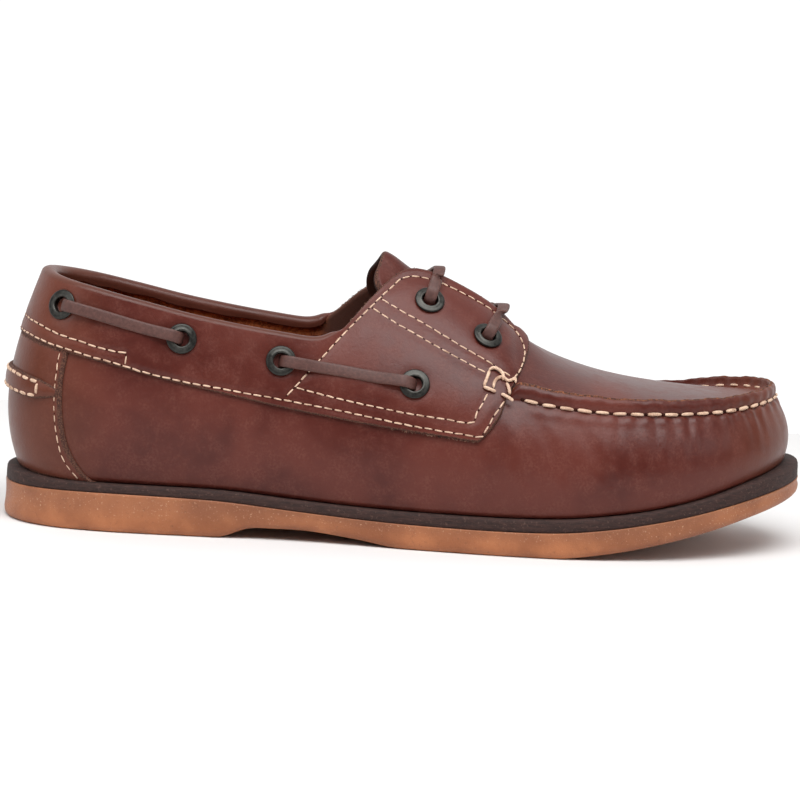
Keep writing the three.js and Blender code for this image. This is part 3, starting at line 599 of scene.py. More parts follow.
# %% [markdown]
# Three layers
# The underside's first rings are marked, so that the rubber's material can cut its tread there.

# %% Sole layers
outsole = outsole_rings()
underside = np.repeat(np.arange(len(outsole)) < UNDERSIDE_RINGS, len(RING))
sole_layer("gum_outsole", outsole, "outsole", "gum", {"under": underside})
sole_layer("dark_midsole", midsole_rings(), "midsole", "midsole")
sole_layer("suede_insole", insole_rings(), "insole", "suede")

# %% [markdown]
# The upper
# Vamp, quarters, moccasin seam and apron are one shell. Walking up one column of the grid goes from the
# sole over the wall, up and over the raised seam, across the apron to the throat, and back down inside.

# %% The raised seam's section
RIDGE_PROFILE = [
    (0.0, 0.0), (0.15, 0.7), (0.1, 1.6), (0.05, 2.8), (0.15, 3.9), (0.45, 4.6), (0.9, 5.0), (1.5, 5.05),
    (2.05, 4.9), (2.4, 4.5), (2.55, 3.8), (2.6, 2.9), (2.75, 2.0), (3.0, 1.2), (3.5, 0.55),
]
RAW_RIDGE = 4.7
MOC_PITCH = 6.6
MOC_START = 187.5
WALL_ROWS = np.concatenate([np.linspace(0, 0.8, 22), np.linspace(0.825, 0.985, 12)])
APRON_STEPS = 36
INNER_LOWER = 0.42
COLS = np.concatenate([np.arange(-np.pi, -1.75, 0.0072), np.arange(-1.75, 1.75, 0.0145),
                       np.arange(1.75, np.pi - 0.002, 0.0072)])


def ridge_rise(theta):
    """How far the raised seam has grown: nothing under the saddles, full in front of them."""
    return ease(station(theta), THROAT_X - 5, THROAT_X + 0.5)


def seam_arc():
    """Length along the moccasin seam over the angle, from where the outer side's stitches start."""
    start = float(angle_at(MOC_START, LATERAL))
    theta = np.linspace(start, 2 * np.pi - start, 900)
    return theta, run_along(skin(np.where(theta > np.pi, theta - 2 * np.pi, theta), 1.0))


MOC_THETA, MOC_ARC = seam_arc()
print("moccasin seam", round(MOC_ARC[-1]), "mm")


def arc_at(theta):
    """Length along the seam at an angle, by linear interpolation."""
    return np.interp(np.mod(theta, 2 * np.pi), MOC_THETA, MOC_ARC)


# %% [markdown]
# Puckers and creases
# Thread pulled tight gathers the vamp, so pleats run down from the holes and fade. A foot that bends
# leaves long soft waves. Both are heights along the surface's normal: cosines under bell curves.

# %% Puckers and creases
WALL_HEIGHT = 40
DENT, DENT_TOE, PLEAT, LIP = 0.14, 0.2, 0.62, 0.35
CREASE_PLACE, CREASE_SPREAD, CREASE_DEPTH = 205, 26, 0.16


def pucker(theta, v):
    """Gathers below the seam: a dent at each stitch hole, and soft pleats that fade down the vamp."""
    x = station(theta)
    arc = arc_at(theta)
    below = (1 - v) * WALL_HEIGHT
    front = ease(x, MOC_START - 2, MOC_START + 6)
    toe = ease(x, 212, 232) * (1 - 0.45 * ease(x, 275, 298))
    beat = np.cos(2 * np.pi * arc / MOC_PITCH)
    uneven = 0.6 + 0.4 * np.sin(arc * 0.31 + 1.0) * np.sin(arc * 0.117)
    short = (DENT + DENT_TOE * toe) * beat * np.exp(-(below / 3.4) ** 2)
    pleat = PLEAT * toe * uneven * np.cos(2 * np.pi * arc / MOC_PITCH + 0.8 * np.sin(arc * 0.2))
    long_fade = np.exp(-below / 8.5) * (1 - np.exp(-(below / 2.5) ** 2))
    lip = LIP * np.exp(-((below - 2.2) / 1.8) ** 2)
    return front * (short + pleat * long_fade + lip)


def creases(points):
    """Soft wrinkles where the foot has bent the vamp: long, low waves that fade out along the shoe."""
    x, z = points[..., 0], points[..., 2]
    zone = np.exp(-((x - CREASE_PLACE) / CREASE_SPREAD) ** 2) * ease(z, 16, 30) * (1 - ease(z, 44, 55))
    slant = x + 0.55 * z
    wave = np.sin(slant * 0.42 + 0.6 * np.sin(z * 0.16))
    return zone * (CREASE_DEPTH * wave + 0.1 * np.sin(slant * 0.81 + 2))


print("deepest pucker", round(float(pucker(COLS, 0.93).max()), 2), "mm")

# %% [markdown]
# Rows from sole to opening
# The shell's rows are worked out in order, each for all columns at once. The raised seam is its section
# carried along the seam; under the saddles it shrinks away into the quarter.

# %% The shell's rows
def wall_rows():
    """The quarter and the vamp up to the seam, with puckers and creases added along the normal."""
    rows = np.stack([skin(COLS, v) for v in WALL_ROWS])
    along = np.roll(rows, -1, 1) - np.roll(rows, 1, 1)
    n = unit(np.cross(along, np.gradient(rows, axis=0)))
    relief = pucker(COLS[None], WALL_ROWS[:, None]) + creases(rows)
    return rows + n * relief[..., None]


def seam_to_opening(theta, rise):
    """From the seam's level to the opening: over the plan in front, through space at the quarter."""
    away = skin(theta, 2.0) - skin(theta, 1.0)
    return mix(np.linalg.norm(away, axis=-1), np.linalg.norm(away[:, :2], axis=-1), rise)


def ridge_tall(theta):
    """The inner side's seam stands lower at the instep than the outer side's, and meets it at the toe."""
    x = station(theta)
    return 1 - INNER_LOWER * (theta < 0) * (1 - ease(x, 246, 284))


def ridge_rows(theta):
    """The raised seam's section carried along the seam, a little uneven along its raw top."""
    _, line = inward(theta)
    seam = skin(theta, 1.0)
    rise = ridge_rise(theta)
    length = seam_to_opening(theta, rise)
    even = np.linspace(0, RIDGE_PROFILE[-1][0], len(RIDGE_PROFILE))
    arc = arc_at(theta)
    uneven = 0.13 * np.sin(arc * 0.41) * np.sin(arc * 0.13 + 1) + 0.05 * np.sin(arc * 1.3 + 2)
    pinch = 0.2 * np.cos(2 * np.pi * arc / MOC_PITCH)
    rows = []
    for (across, up), step in zip(RIDGE_PROFILE, even):
        flat = skin(theta, 1 + mix(step, across, rise) / length)
        foot = seam[:, 2] + (flat[:, 2] - seam[:, 2]) * min(1.0, across / 3.0)
        middle = np.sin(np.pi * np.clip(up / 5.0, 0, 1))
        shift = across + pinch * middle * (1 if across > 1.4 else -1)
        tall = up * (1 + 0.06 * uneven / 0.16) if up > 3 else up
        height = foot + tall * ridge_tall(theta)
        raised = np.concatenate([seam[:, :2] + line * shift[:, None], height[:, None]], -1)
        rows.append(mix(flat, raised, rise[:, None]))
    return rows


def apron_rows(theta):
    """From the raised seam's foot across the apron, or up the quarter, to the opening's edge."""
    first = RIDGE_PROFILE[-1][0] / seam_to_opening(theta, ridge_rise(theta))
    shares = np.linspace(0, 1, APRON_STEPS + 1)[1:]
    return [skin(theta, 1 + first + (1 - first) * s) for s in shares]


print("rows of the raised seam", len(RIDGE_PROFILE))

# %% [markdown]
# Back down inside
# Going down inside, the lining keeps the wall's thickness. The ends of the last row meet the first, which
# closes the shell. Marks for lining and raw edges go with the points.

# %% Lining and closing
INNER_V = np.concatenate([np.linspace(2, 1.06, 16), np.linspace(1, 0, 12)])


def inner_rows():
    """The lining: the smooth outside moved in by the wall's thickness along its normal."""
    rows = np.stack([skin(COLS, v) for v in INNER_V])
    along = np.roll(rows, -1, 1) - np.roll(rows, 1, 1)
    moved = rows - unit(np.cross(along, -np.gradient(rows, axis=0))) * WALL
    moved[-1, :, 2] = rows[-1, :, 2]
    return moved


def build_upper():
    """All rows stacked and closed, with marks for lining and raw edges."""
    wall, ridge, apron, inner = wall_rows(), ridge_rows(COLS), apron_rows(COLS), inner_rows()
    rows = np.concatenate([wall, ridge, apron, inner])
    faces = grid_faces(*rows.shape[:2], wrap_rows=True, wrap_cols=True)
    inside = np.zeros(rows.shape[:2])
    inside[-len(inner):] = 1
    raw = np.zeros(rows.shape[:2])
    tops = np.array([up > RAW_RIDGE and across > 1.2 for across, up in RIDGE_PROFILE])
    raw[len(wall):len(wall) + len(ridge)][tops] = ridge_rise(COLS)
    opening = len(wall) + len(ridge) + len(apron)
    raw[opening - 1:opening + 1] = 1
    marks = {"inside": inside, "raw": raw}
    loft("leather_upper", rows, faces, ["upper"], "leather", marks)


build_upper()

# %% [markdown]
# Panels that lie on the upper
# Every panel is cut from flat leather and sewn on, so it follows the upper below it. Each is a sheet over
# the same two parameters as the upper, lifted off it by the leather's thickness, with its cut edge rounded.


# %% Lifting a sheet off the upper
def cover(theta, v):
    """The upper again, with every section straight across at the throat."""
    return shell(theta, v, straight_end)


def cover_frame(theta, v):
    """A point of that cover and its outward normal, the cross product of its two slopes."""
    theta, v = np.broadcast_arrays(np.asarray(theta, float), np.asarray(v, float))
    turn, rise = 0.006, 0.02
    along = cover(theta + turn, v) - cover(theta - turn, v)
    up = cover(theta, np.minimum(v + rise, 2)) - cover(theta, np.maximum(v - rise, 0))
    return cover(theta, v), unit(np.cross(along, up))


def level_under(x, z, side):
    """The parameter v of places given from the side, read off each section by linear interpolation."""
    x, z = np.broadcast_arrays(np.asarray(x, float), np.asarray(z, float))
    steps = np.linspace(0, 2, 201)
    heights = cover(angle_at(x, side)[..., None], steps)[..., 2]
    below = np.clip(np.sum(heights < z[..., None], -1), 1, len(steps) - 1)
    z0 = np.take_along_axis(heights, below[..., None] - 1, -1)[..., 0]
    z1 = np.take_along_axis(heights, below[..., None], -1)[..., 0]
    share = np.clip((z - z0) / np.maximum(z1 - z0, 1e-6), 0, 1)
    return steps[below - 1] + (steps[1] - steps[0]) * share


print("the rim at the heel is at v", round(float(level_under(0.5, 85.0, LATERAL)), 2))

# %% [markdown]
# Collar band and saddles
# On this shoe one strip of leather goes round the heel, widens over the instep into the saddles that carry
# the eyelets, and rolls over the padded collar. It is drawn as one sheet, as it is cut, because the eye
# looks for an edge wherever two pieces meet.

# %% One sheet round the heel and over the instep
BAND_EDGE = table_of("x z", [
    (-5, 69.3), (6, 67.8), (19, 65.0), (41, 60.8), (60, 56.6), (81, 52.8), (101, 49.0), (119, 46.4),
    (138, 44.2), (157, 42.5), (172, 41.2),
])
SADDLE_FRONT = [
    (171.6, 41.2), (174.0, 43.4), (176.9, 46.9), (179.7, 51.4), (183.2, 59.2), (186.0, 63.2), (189.2, 67.6),
    (191.0, 71.0),
]
SADDLE_CORNER = [(191.4, 1.8), (191.0, 1.88), (189.6, 1.95), (187.4, 2.0)]
BAND_THICK = 1.5
SADDLE_THICK = 2.0
UNDER = 0.6
COLLAR_END = (116.5, 121.5)
band_edge = table_curve(BAND_EDGE, "z", 6.0)


def level_at(theta, z):
    """The parameter v of a height on the quarter: even up to the seam's level, then even up to the top."""
    low, level, top = levels(theta)
    return np.where(z < level, (z - low) / (level - low), 1 + (z - level) / (top - level))


def band_low(theta):
    """The parameter v of the band's lower edge at each angle."""
    return level_at(theta, band_edge(station(theta)))


def front_edge():
    """The saddle's front edge as an angle over v."""
    x, z = np.array(SADDLE_FRONT).T
    v = level_under(x, z, LATERAL)
    x = np.append(x, [row[0] for row in SADDLE_CORNER])
    v = np.append(v, [row[1] for row in SADDLE_CORNER])
    print("front edge", np.stack([x, v], -1).round(2).tolist())
    return lambda at: np.interp(at, v, angle_at(x, LATERAL))


front_angle = front_edge()


# %% [markdown]
# Where the seams run
# The stitch rows are laid out before any leather is made, because thread pulled tight presses a groove
# into it. The rows are measured on the outer side, as places seen from the side; the same parameters with
# the angle's sign turned give the rows of the inner side.


# %% Smooth paths
def smooth_path(points, count):
    """A curve through the points, cubic between neighbours, at even distances along it."""
    points = np.asarray(points, float)
    along = run_along(points)
    padded = np.concatenate([[2 * points[0] - points[1]], points, [2 * points[-1] - points[-2]]])
    gaps = np.concatenate([[2 * along[1]], along[2:] - along[:-2], [2 * (along[-1] - along[-2])]])
    tangents = (padded[2:] - padded[:-2]) / gaps[:, None]
    at = np.linspace(0, along[-1], count)
    i = np.clip(np.searchsorted(along, at, side="right") - 1, 0, len(points) - 2)
    h = (along[i + 1] - along[i])[:, None]
    s = ((at - along[i]) / h[:, 0])[:, None]
    return ((2 * s**3 - 3 * s**2 + 1) * points[i] + (s**3 - 2 * s**2 + s) * h * tangents[i]
            + (3 * s**2 - 2 * s**3) * points[i + 1] + (s**3 - s**2) * h * tangents[i + 1])


def length_of(points):
    """Total length of a line of points."""
    return float(run_along(points)[-1])


print("a quarter circle of 10 mm is", round(length_of(10 * np.array([[np.cos(a), np.sin(a)]
      for a in np.linspace(0, np.pi / 2, 90)])), 1), "mm long")

# %% [markdown]
# The rows, measured from the side
# Each row is a short list of places seen from the side, in millimetres: how far from the heel, and how
# high. Leather stands off the last, so a place is moved until the lifted surface shows it where it was
# seen.

# %% Rows of machine stitches
ROWS = {
    "band": [(3.2, 70.2), (3.8, 70.2), (6.2, 69.8), (9.7, 68.9), (14.7, 67.6), (20.8, 66.4), (25.7, 65.4),
             (30.6, 64.2), (36.0, 63.2), (42.1, 61.8), (49.4, 60.0), (57.3, 58.4), (65.8, 56.9),
             (75.5, 55.7), (86.4, 54.2), (102.6, 52.1), (117.1, 50.1), (131.5, 48.1), (145.9, 46.0),
             (160.2, 44.6), (170.4, 43.7), (172.2, 43.9), (174.4, 46.9), (176.5, 50.8), (178.8, 53.9),
             (180.8, 56.6)],
    "heel": [(4.5, 75.1), (5.0, 75.1), (6.6, 74.8), (10.1, 73.9), (14.5, 72.4), (19.4, 71.0), (24.3, 69.9),
             (29.2, 68.7), (35.2, 67.4), (38.9, 66.8), (42.2, 66.4), (42.4, 64.2), (42.1, 62.1)],
    "rear": [(101.5, 53.9), (104.6, 57.4), (108.7, 62.2), (112.9, 66.9), (118.6, 73.3), (123.5, 78.7),
             (127.8, 83.0), (132.2, 87.2), (137.3, 91.7), (141.8, 95.6), (145.9, 98.2), (149.9, 98.9),
             (153.9, 98.0), (160.7, 95.2), (166.8, 92.6), (172.9, 89.5), (179.1, 84.8), (185.2, 80.3),
             (188.6, 76.3), (189.7, 72.0), (187.6, 67.2), (184.5, 63.9)],
    "low": [(104.6, 57.1), (117.0, 54.5), (131.4, 52.2), (145.8, 50.2), (160.1, 49.0), (168.9, 48.6),
            (170.8, 52.2), (172.9, 56.0), (174.6, 58.9)],
    "slant_high": [(135.5, 89.5), (142.5, 85.7), (150.5, 81.9), (158.6, 77.7), (165.9, 73.9), (174.7, 69.6),
                   (183.4, 64.6)],
    "slant_low": [(132.2, 86.2), (139.5, 82.0), (147.6, 78.0), (156.3, 73.8), (165.8, 69.4), (174.0, 65.8)],
}
STITCH_PITCH = 3.75
STITCH_LENGTH = 3.25
STITCH_RADIUS = 0.31


def row_parameters(points, lift):
    """Angle and v of places seen from the side on lifted leather: both are moved until the places agree."""
    flat = smooth_path(points, max(12, int(length_of(np.asarray(points)) / 0.6)))
    x, z = flat.T
    for _ in range(9):
        x = np.clip(x, 0.02, 193)
        theta = angle_at(x, LATERAL)
        v = level_under(x, z, LATERAL)
        p, n = cover_frame(theta, v)
        off = flat - (p + lift * n)[:, [0, 2]]
        x, z = x + 0.8 * off[:, 0], z + 0.8 * off[:, 1]
    return theta, np.clip(v, 0, 1.93)


ROW_PLACES = {name: row_parameters(points, 2.0) for name, points in ROWS.items()}


def both_sides(name):
    """A row on each side, as angles and v; rows that start at the heel's middle are joined there."""
    theta, v = ROW_PLACES[name]
    if name in ("band", "heel"):
        return [(np.concatenate([-theta[::-1], theta]), np.concatenate([v[::-1], v]))]
    return [(theta, v), (-theta, v)]


ROW_LINES = [line for name in ROWS for line in both_sides(name)]
SEAM_POINTS = [cover(theta, v) for theta, v in ROW_LINES]
print("stitch rows", len(SEAM_POINTS), "of", round(sum(length_of(p) for p in SEAM_POINTS)), "mm")


def nearest_seam(points, lines, reach=9.0):
    """Distance from each grid point to the nearest row, up to a reach; rows farther off are skipped."""
    flat = points.reshape(-1, 3)
    nearest = np.full(len(flat), reach)
    for line in lines:
        near = np.all((flat > line.min(0) - reach) & (flat < line.max(0) + reach), axis=1)
        chosen = flat[near]
        squared = (np.sum(chosen**2, 1)[:, None] + np.sum(line**2, 1)[None] - 2 * chosen @ line.T).min(1)
        nearest[near] = np.minimum(nearest[near], np.sqrt(np.maximum(squared, 0)))
    return nearest.reshape(points.shape[:-1])

# %% [markdown]
# A cut edge
# A cut edge is not a sharp step. Its upper corner is rounded over, so the height grows over the first
# millimetre like a quarter circle.

# %% The sheet's leather
def cut_edge(distance, thick, round_over=0.8):
    """Height of a sheet at a distance from its edge: a third of its thickness, then a quarter circle."""
    t = np.clip(distance / round_over, 0, 1)
    return thick * (0.35 + 0.65 * np.sqrt(1 - (1 - t) ** 2))


def fine_ends(near, start, stop, count, far):
    """Even shares from start to stop, with the closer ones near and far where an edge is rounded."""
    return np.concatenate([near, np.linspace(start, stop, count), far])


def arc_lengths(grid, axis):
    """Length along a grid's rows or columns, starting at 0."""
    steps = np.linalg.norm(np.diff(grid, axis=axis), axis=-1)
    start = np.zeros_like(np.take(steps, [0], axis))
    return np.concatenate([start, np.cumsum(steps, axis)], axis)


def closed_loop_faces(rows, cols):
    """Faces of a sheet whose rows wrap round it, with its two side ends filled by pairing rows."""
    body = grid_faces(rows, cols, wrap_rows=True)
    i = np.arange(rows // 2 - 1)
    ends = []
    for column, flip in ((0, 1), (cols - 1, -1)):
        cap = np.stack([i, i + 1, rows - 2 - i, rows - 1 - i], -1) * cols + column
        ends.append(cap[:, ::flip])
    return np.concatenate([body, *ends])


# %% [markdown]
# Where the eyelets sit
# Six eyelets a side go through the sheet. Leather is pushed in under each, and drawn down a little round
# it.

# %% Seats of the eyelets
EYELETS = {
    "collar_back": (15.0, 81.5), "collar_side": (62.2, 72.2), "collar_front": (99.0, 65.8),
    "saddle_side": (148.0, 59.6), "throat_top": (153.0, 87.6), "throat_low": (174.2, 75.9),
}


def eyelet_seat(name, side):
    """An eyelet's centre on the leather and the normal there."""
    x, z = EYELETS[name]
    theta = angle_at(x, side)
    p, n = cover_frame(theta, level_under(x, z, side))
    return p, n


SEATS = {(name, side): eyelet_seat(name, side) for name in EYELETS for side in SIDES}


def pressed(points, normal, depth, dimple=0.3):
    """Leather under the eyelets: pushed in by the barrel, and drawn down a little round the flange."""
    for p, n in SEATS.values():
        away = points - p
        along = away @ n
        radius = np.linalg.norm(away - along[..., None] * n, axis=-1)
        near = np.abs(along) < 9
        hole = (1 - ease(radius, 2.8, 3.7)) * depth
        ring = dimple * np.exp(-((radius - 4.6) / 1.7) ** 2)
        points = points - normal * (near * (hole + ring))[..., None]
    return points


# %% [markdown]
# The sheet in one piece
# The sheet's top, its end and its underside are one closed loop of rows. At the collar the end rolls over
# the padded rim and down inside; at the throat it is simply cut, and the two blend in between.

# %% Collar and saddles
GROOVE = 0.34
ROLL_TALL, FACING_DEPTH, FACING_GAP = 2.3, 2.3, 0.3
SADDLE_END = 172
FAR_OFF = 50.0


def sheet_height(theta, distance, seam=9.0):
    """Thickness over the sheet: more over the counter and in the saddles, less in a seam's groove."""
    x = station(theta)
    thick = BAND_THICK + 0.4 * (1 - ease(x, 18, 30)) + (SADDLE_THICK - BAND_THICK) * ease(x, 118, 150)
    puff = 0.45 * ease(x, 104, 122) * (1 - np.exp(-distance / 5)) * (1 - np.exp(-(seam / 4.0) ** 2))
    return cut_edge(distance, thick) + puff - GROOVE * np.exp(-(seam / 1.25) ** 2)


def rolled_rim(u, theta, v, up, low, rim, rim_n):
    """Half a circle over the padded rim, then down inside by an uneven depth and back up under it."""
    rim_up = unit(rim - cover(theta, v - 0.06))
    thick = sheet_height(theta, np.full(len(u), FAR_OFF))
    half = (WALL + 2 * thick) / 2
    roll = []
    for angle in np.radians([12, 32, 52, 72, 90, 108, 128, 148, 168]):
        out = -WALL / 2 + half * np.cos(angle)
        roll.append(rim + rim_n * out[:, None] + rim_up * (ROLL_TALL * np.sin(angle)))
    depth = FACING_DEPTH + 0.3 * np.sin(u * 71) + 0.25 * np.sin(u * 33 + 1)
    span = up[-1] - up[0]
    down = [(share, (WALL + thick)[:, None]) for share in (0.12, 0.3, 0.5, 0.75, 1.0)]
    back = [(share, WALL + FACING_GAP) for share in (1.0, 0.75, 0.5, 0.25)]
    for share, inside in down + back:
        p, q = cover_frame(theta, 2 - (2 - low) * share * depth / span)
        roll.append(p - q * inside)
    return np.stack(roll)


def collar_and_saddles():
    """The sheet's top, its roll over the collar or cut edge at the throat, and its underside."""
    u = fine_ends([-1, -0.9995, -0.9985, -0.997], -0.993, 0.993, 500, [0.997, 0.9985, 0.9995, 1])
    t = fine_ends([0, 0.004, 0.012, 0.026, 0.045], 0.07, 0.94, 34, [0.955, 0.974, 0.988, 0.996, 1])
    start = band_low(angle_at(SADDLE_END, LATERAL))
    sweep = front_angle(start + (2 - start) * t)
    theta = u[None, :] * sweep[:, None]
    low = band_low(u * sweep[0])
    v = low[None, :] * (1 - t[:, None]) + 2 * t[:, None]
    base, n = cover_frame(theta, v)
    up, along = arc_lengths(base, 0), arc_lengths(base, 1)
    raw_top = ease(station(theta), *COLLAR_END)
    from_front = np.minimum(along, along[:, -1:] - along)
    from_top = (up[-1:] - up) + FAR_OFF * (1 - raw_top)
    distance = np.minimum(np.minimum(up, from_front), from_top)
    seam = nearest_seam(base, SEAM_POINTS)
    top = base + n * sheet_height(theta, distance, seam)[..., None]
    top = pressed(top, n, 1.5)
    under = base - n * UNDER
    roll = rolled_rim(u, theta[-1], v[-1], up, low, base[-1], n[-1])
    share = np.linspace(0, 1, len(roll) + 2)[1:-1]
    cut = top[-1][None] * (1 - share[:, None, None]) + under[-1][None] * share[:, None, None]
    roll = mix(roll, cut, raw_top[-1][None, :, None])
    rows = np.concatenate([top, roll, under[::-1]])
    if len(rows) % 2:
        raise ValueError("the sheet's rows must pair up")
    end = np.tile(FAR_OFF * (1 - raw_top[-1]), (len(roll), 1))
    edge = np.concatenate([distance, end, np.zeros_like(distance)])
    facing = np.zeros_like(edge)
    facing[len(top):len(top) + len(roll)] = 1 - raw_top[-1]
    loft("collar_and_saddles", rows, closed_loop_faces(*rows.shape[:2]),
         ["collar_band", "saddle_lateral", "saddle_medial"], "band",
         {"edge": edge, "facing": facing})


collar_and_saddles()

# %% [markdown]
# Round the heel
# Two smaller pieces go round the heel: the counter, which stiffens it, and a short strap that covers the
# back seam. Both are grids of angle and height with every edge cut.

# %% Counter and heel strap
COUNTER_FRONT = [
    (16.0, 33.0), (18.0, 31.2), (21.0, 27.6), (26.7, 24.1), (31.6, 22.1), (36.4, 21.0), (43.1, 20.1),
    (49.2, 19.6), (57.6, 19.3), (64.3, 19.8), (70.0, 20.2),
]


def patch(name, theta, v, near, thick, node, finish):
    """A sheet of leather over a grid of parameters, with all of its edges cut and rounded."""
    base, n = cover_frame(theta, v)
    up, along = arc_lengths(base, 0), arc_lengths(base, 1)
    distance = np.minimum(np.minimum(along, along[:, -1:] - along), np.minimum(up, up[-1:] - up))
    top = base + n * (near + cut_edge(distance, thick))[..., None]
    under = base + n * np.broadcast_to(near - UNDER, distance.shape)[..., None]
    rows = np.concatenate([top, under[::-1]])
    edge = np.concatenate([distance, np.zeros_like(distance)])
    loft(name, rows, closed_loop_faces(*rows.shape[:2]), [node], finish, {"edge": edge})


END_SHARES = fine_ends([0, 0.0015, 0.005, 0.011, 0.018], 0.03, 0.97, 90, [0.982, 0.989, 0.995, 0.9985, 1])
ROW_SHARES = fine_ends([0, 0.003, 0.009, 0.02, 0.034], 0.05, 0.95, 36, [0.966, 0.98, 0.991, 0.997, 1])


COUNTER_LOW, COUNTER_OVERLAP, COUNTER_THICK = 16.5, 1.0, 1.1


def counter_patch():
    """A grid from the sole to under the band, as wide at each height as the counter's front edge."""
    t = ROW_SHARES[:, None]
    z = COUNTER_LOW + (band_edge(0.0) + COUNTER_OVERLAP - COUNTER_LOW) * t
    x_front = np.interp(z, *np.array(COUNTER_FRONT).T)
    theta = (2 * END_SHARES - 1)[None, :] * angle_at(x_front, LATERAL)
    x = station(theta)
    z = COUNTER_LOW + (band_edge(x) + COUNTER_OVERLAP - COUNTER_LOW) * t
    v = np.clip(level_at(theta, z), 0, 2)
    patch("heel_counter", theta, v, 0.0, COUNTER_THICK, "counter", "counter")


STRAP_HIGH = [(0, 56.3), (3, 56.0), (8, 54.9), (12, 54.0), (18.4, 51.4)]
STRAP_LOW = [(0, 48.2), (3.4, 47.4), (8.2, 46.9), (12, 47.2), (18.4, 48.4)]
STRAP_END, STRAP_THICK = 18.2, 1.1


def strap_swell(theta, t):
    """The strap bulges over the back seam and thins out where its ends are caught in the counter's seam."""
    return 1.0 + 0.8 * np.sin(np.pi * t) ** 0.7 - 1.1 * ease(station(theta), 11, STRAP_END)


def strap_patch():
    """A grid between two edges given as heights over the distance from the heel."""
    t = ROW_SHARES[:, None]
    theta = (2 * END_SHARES - 1)[None, :] * angle_at(STRAP_END, LATERAL) + 0 * t
    x = station(theta)
    low_z, high_z = (np.interp(x, *np.array(edge).T) for edge in (STRAP_LOW, STRAP_HIGH))
    v = level_at(theta, low_z + (high_z - low_z) * t)
    near = strap_swell(theta, t)
    patch("heel_strap_tab", theta, v, near, STRAP_THICK, "heel_strap", "band")


counter_patch()
strap_patch()

# %% [markdown]
# The tongue
# The tongue lies under the throat as an arch, its free end curling up towards the ankle. Sections across
# it are blunt arches whose sides fall away, and the end is a full round edge.

# %% Tongue
TONGUE = table_of("x crest half lateral medial", [
    (137.0, 104.7, 12, 1.05, 1.3), (139.5, 104.2, 12, 1.07, 1.35), (144, 101.2, 12.2, 1.12, 1.45),
    (151, 96.3, 14.5, 1.08, 1.4), (160, 91.6, 18, 0.9, 1.15), (170, 86.0, 20, 0.85, 1.0),
    (180, 78.6, 18, 0.8, 0.9), (188, 73.0, 15, 0.7, 0.75), (197, 68.2, 12, 0.55, 0.55),
])
TONGUE_BACK, TONGUE_FRONT = 137.0, 197.0
TONGUE_THICK = 2.8
TONGUE_ROUND = 6.0
TONGUE_LEAN = 0.5
tongue_curve = columns(TONGUE, "crest half lateral medial", 3.0)


def tongue_sheet():
    """Arches across the foot: each point drops by slope times (hypot(y, round) - round) and leans back."""
    share = fine_ends([-1, -0.996, -0.985, -0.965], -0.94, 0.94, 70, [0.965, 0.985, 0.996, 1])
    corner = 7.0 * np.clip((np.abs(share) - 0.5) / 0.5, 0, 1) ** 2
    run = fine_ends([0, 0.002, 0.007, 0.014, 0.024], 0.04, 1, 80, [])[:, None]
    x = TONGUE_BACK + corner + (TONGUE_FRONT - TONGUE_BACK - corner) * run
    half = tongue_curve["half"](x) + 6.0 * (1 - ease(x, TONGUE_BACK, 150))
    y = half * share
    slope = mix(tongue_curve["lateral"](x), tongue_curve["medial"](x), ease(y, -2, 2))
    wave = 0.35 * np.sin(y * 0.5 + x * 0.2) * (1 - ease(x, 140, 152))
    side = half * (1 - np.abs(share))
    end = x - TONGUE_BACK - corner
    near = np.clip(np.minimum(side, end) / 1.5, 0, 1)
    round_off = 1.35 * (1 - np.sqrt(1 - (1 - near) ** 2))

    def arch(depth):
        """The sheet at a depth below its crest."""
        drop = depth + slope * (np.hypot(y, TONGUE_ROUND) - TONGUE_ROUND)
        return np.stack([x - TONGUE_LEAN * drop, y, tongue_curve["crest"](x) - drop + wave], -1)

    top, under = arch(round_off), arch(TONGUE_THICK - round_off)
    rows = np.concatenate([top, under[::-1]])
    edge = np.concatenate([np.minimum(side, end), np.minimum(side, end)[::-1]])
    lining = np.concatenate([np.zeros_like(side), np.ones_like(side)])
    loft("leather_tongue", rows, closed_loop_faces(*rows.shape[:2]), ["tongue"], "tongue",
         {"edge": edge, "inside": lining})


tongue_sheet()

# %% [markdown]
# Eyelets
# Each eyelet is a turned brass ring, rolled over at its outer rim and pressed through the leather. Its
# profile is carried round the axis that the leather's normal gives.

# %% Turned rings
EYELET_PROFILE = [
    (3.2, -1.4), (3.2, 1.6), (3.6, 1.95), (5.1, 1.95), (5.45, 2.1), (5.55, 2.35), (5.45, 2.62), (5.1, 2.78),
    (4.6, 2.84), (4.0, 2.92), (3.6, 3.12), (3.25, 3.15), (2.92, 2.9), (2.8, 2.3), (2.75, 1.2), (2.75, -1.4),
]
RING_SIDES = 48


def flat_part(direction, n):
    """A direction laid flat on the leather: the part along its normal is taken away."""
    return unit(direction - np.dot(direction, n) * n)


def panel_height(name):
    """How far an eyelet's flange is lifted to rest on its panel."""
    thick = SADDLE_THICK + 0.4 if name.startswith(("saddle", "throat")) else BAND_THICK
    return thick - 2.0 + 0.1


def eyelet_ring(name, side):
    """The profile turned round the leather's normal."""
    p, n = SEATS[name, side]
    a = flat_part(np.array([1.0, 0.0, 0.0]), n)
    b = np.cross(n, a)
    turn = np.linspace(0, 2 * np.pi, RING_SIDES + 1)[:-1]
    circle = np.cos(turn)[:, None] * a + np.sin(turn)[:, None] * b
    lift = panel_height(name)
    rows = np.stack([p + n * (h + (lift if h > 0 else 0)) + r * circle for r, h in EYELET_PROFILE])
    faces = grid_faces(*rows.shape[:2], wrap_rows=True, wrap_cols=True)
    proud = np.repeat([np.clip((h - 1.6) / 1.7, 0, 1) for _, h in EYELET_PROFILE], RING_SIDES)
    label = f"{name}_{SIDES[side]}"
    loft(f"ring_{label}", rows, faces, [f"eyelet_{label}"], "metal", {"proud": proud})


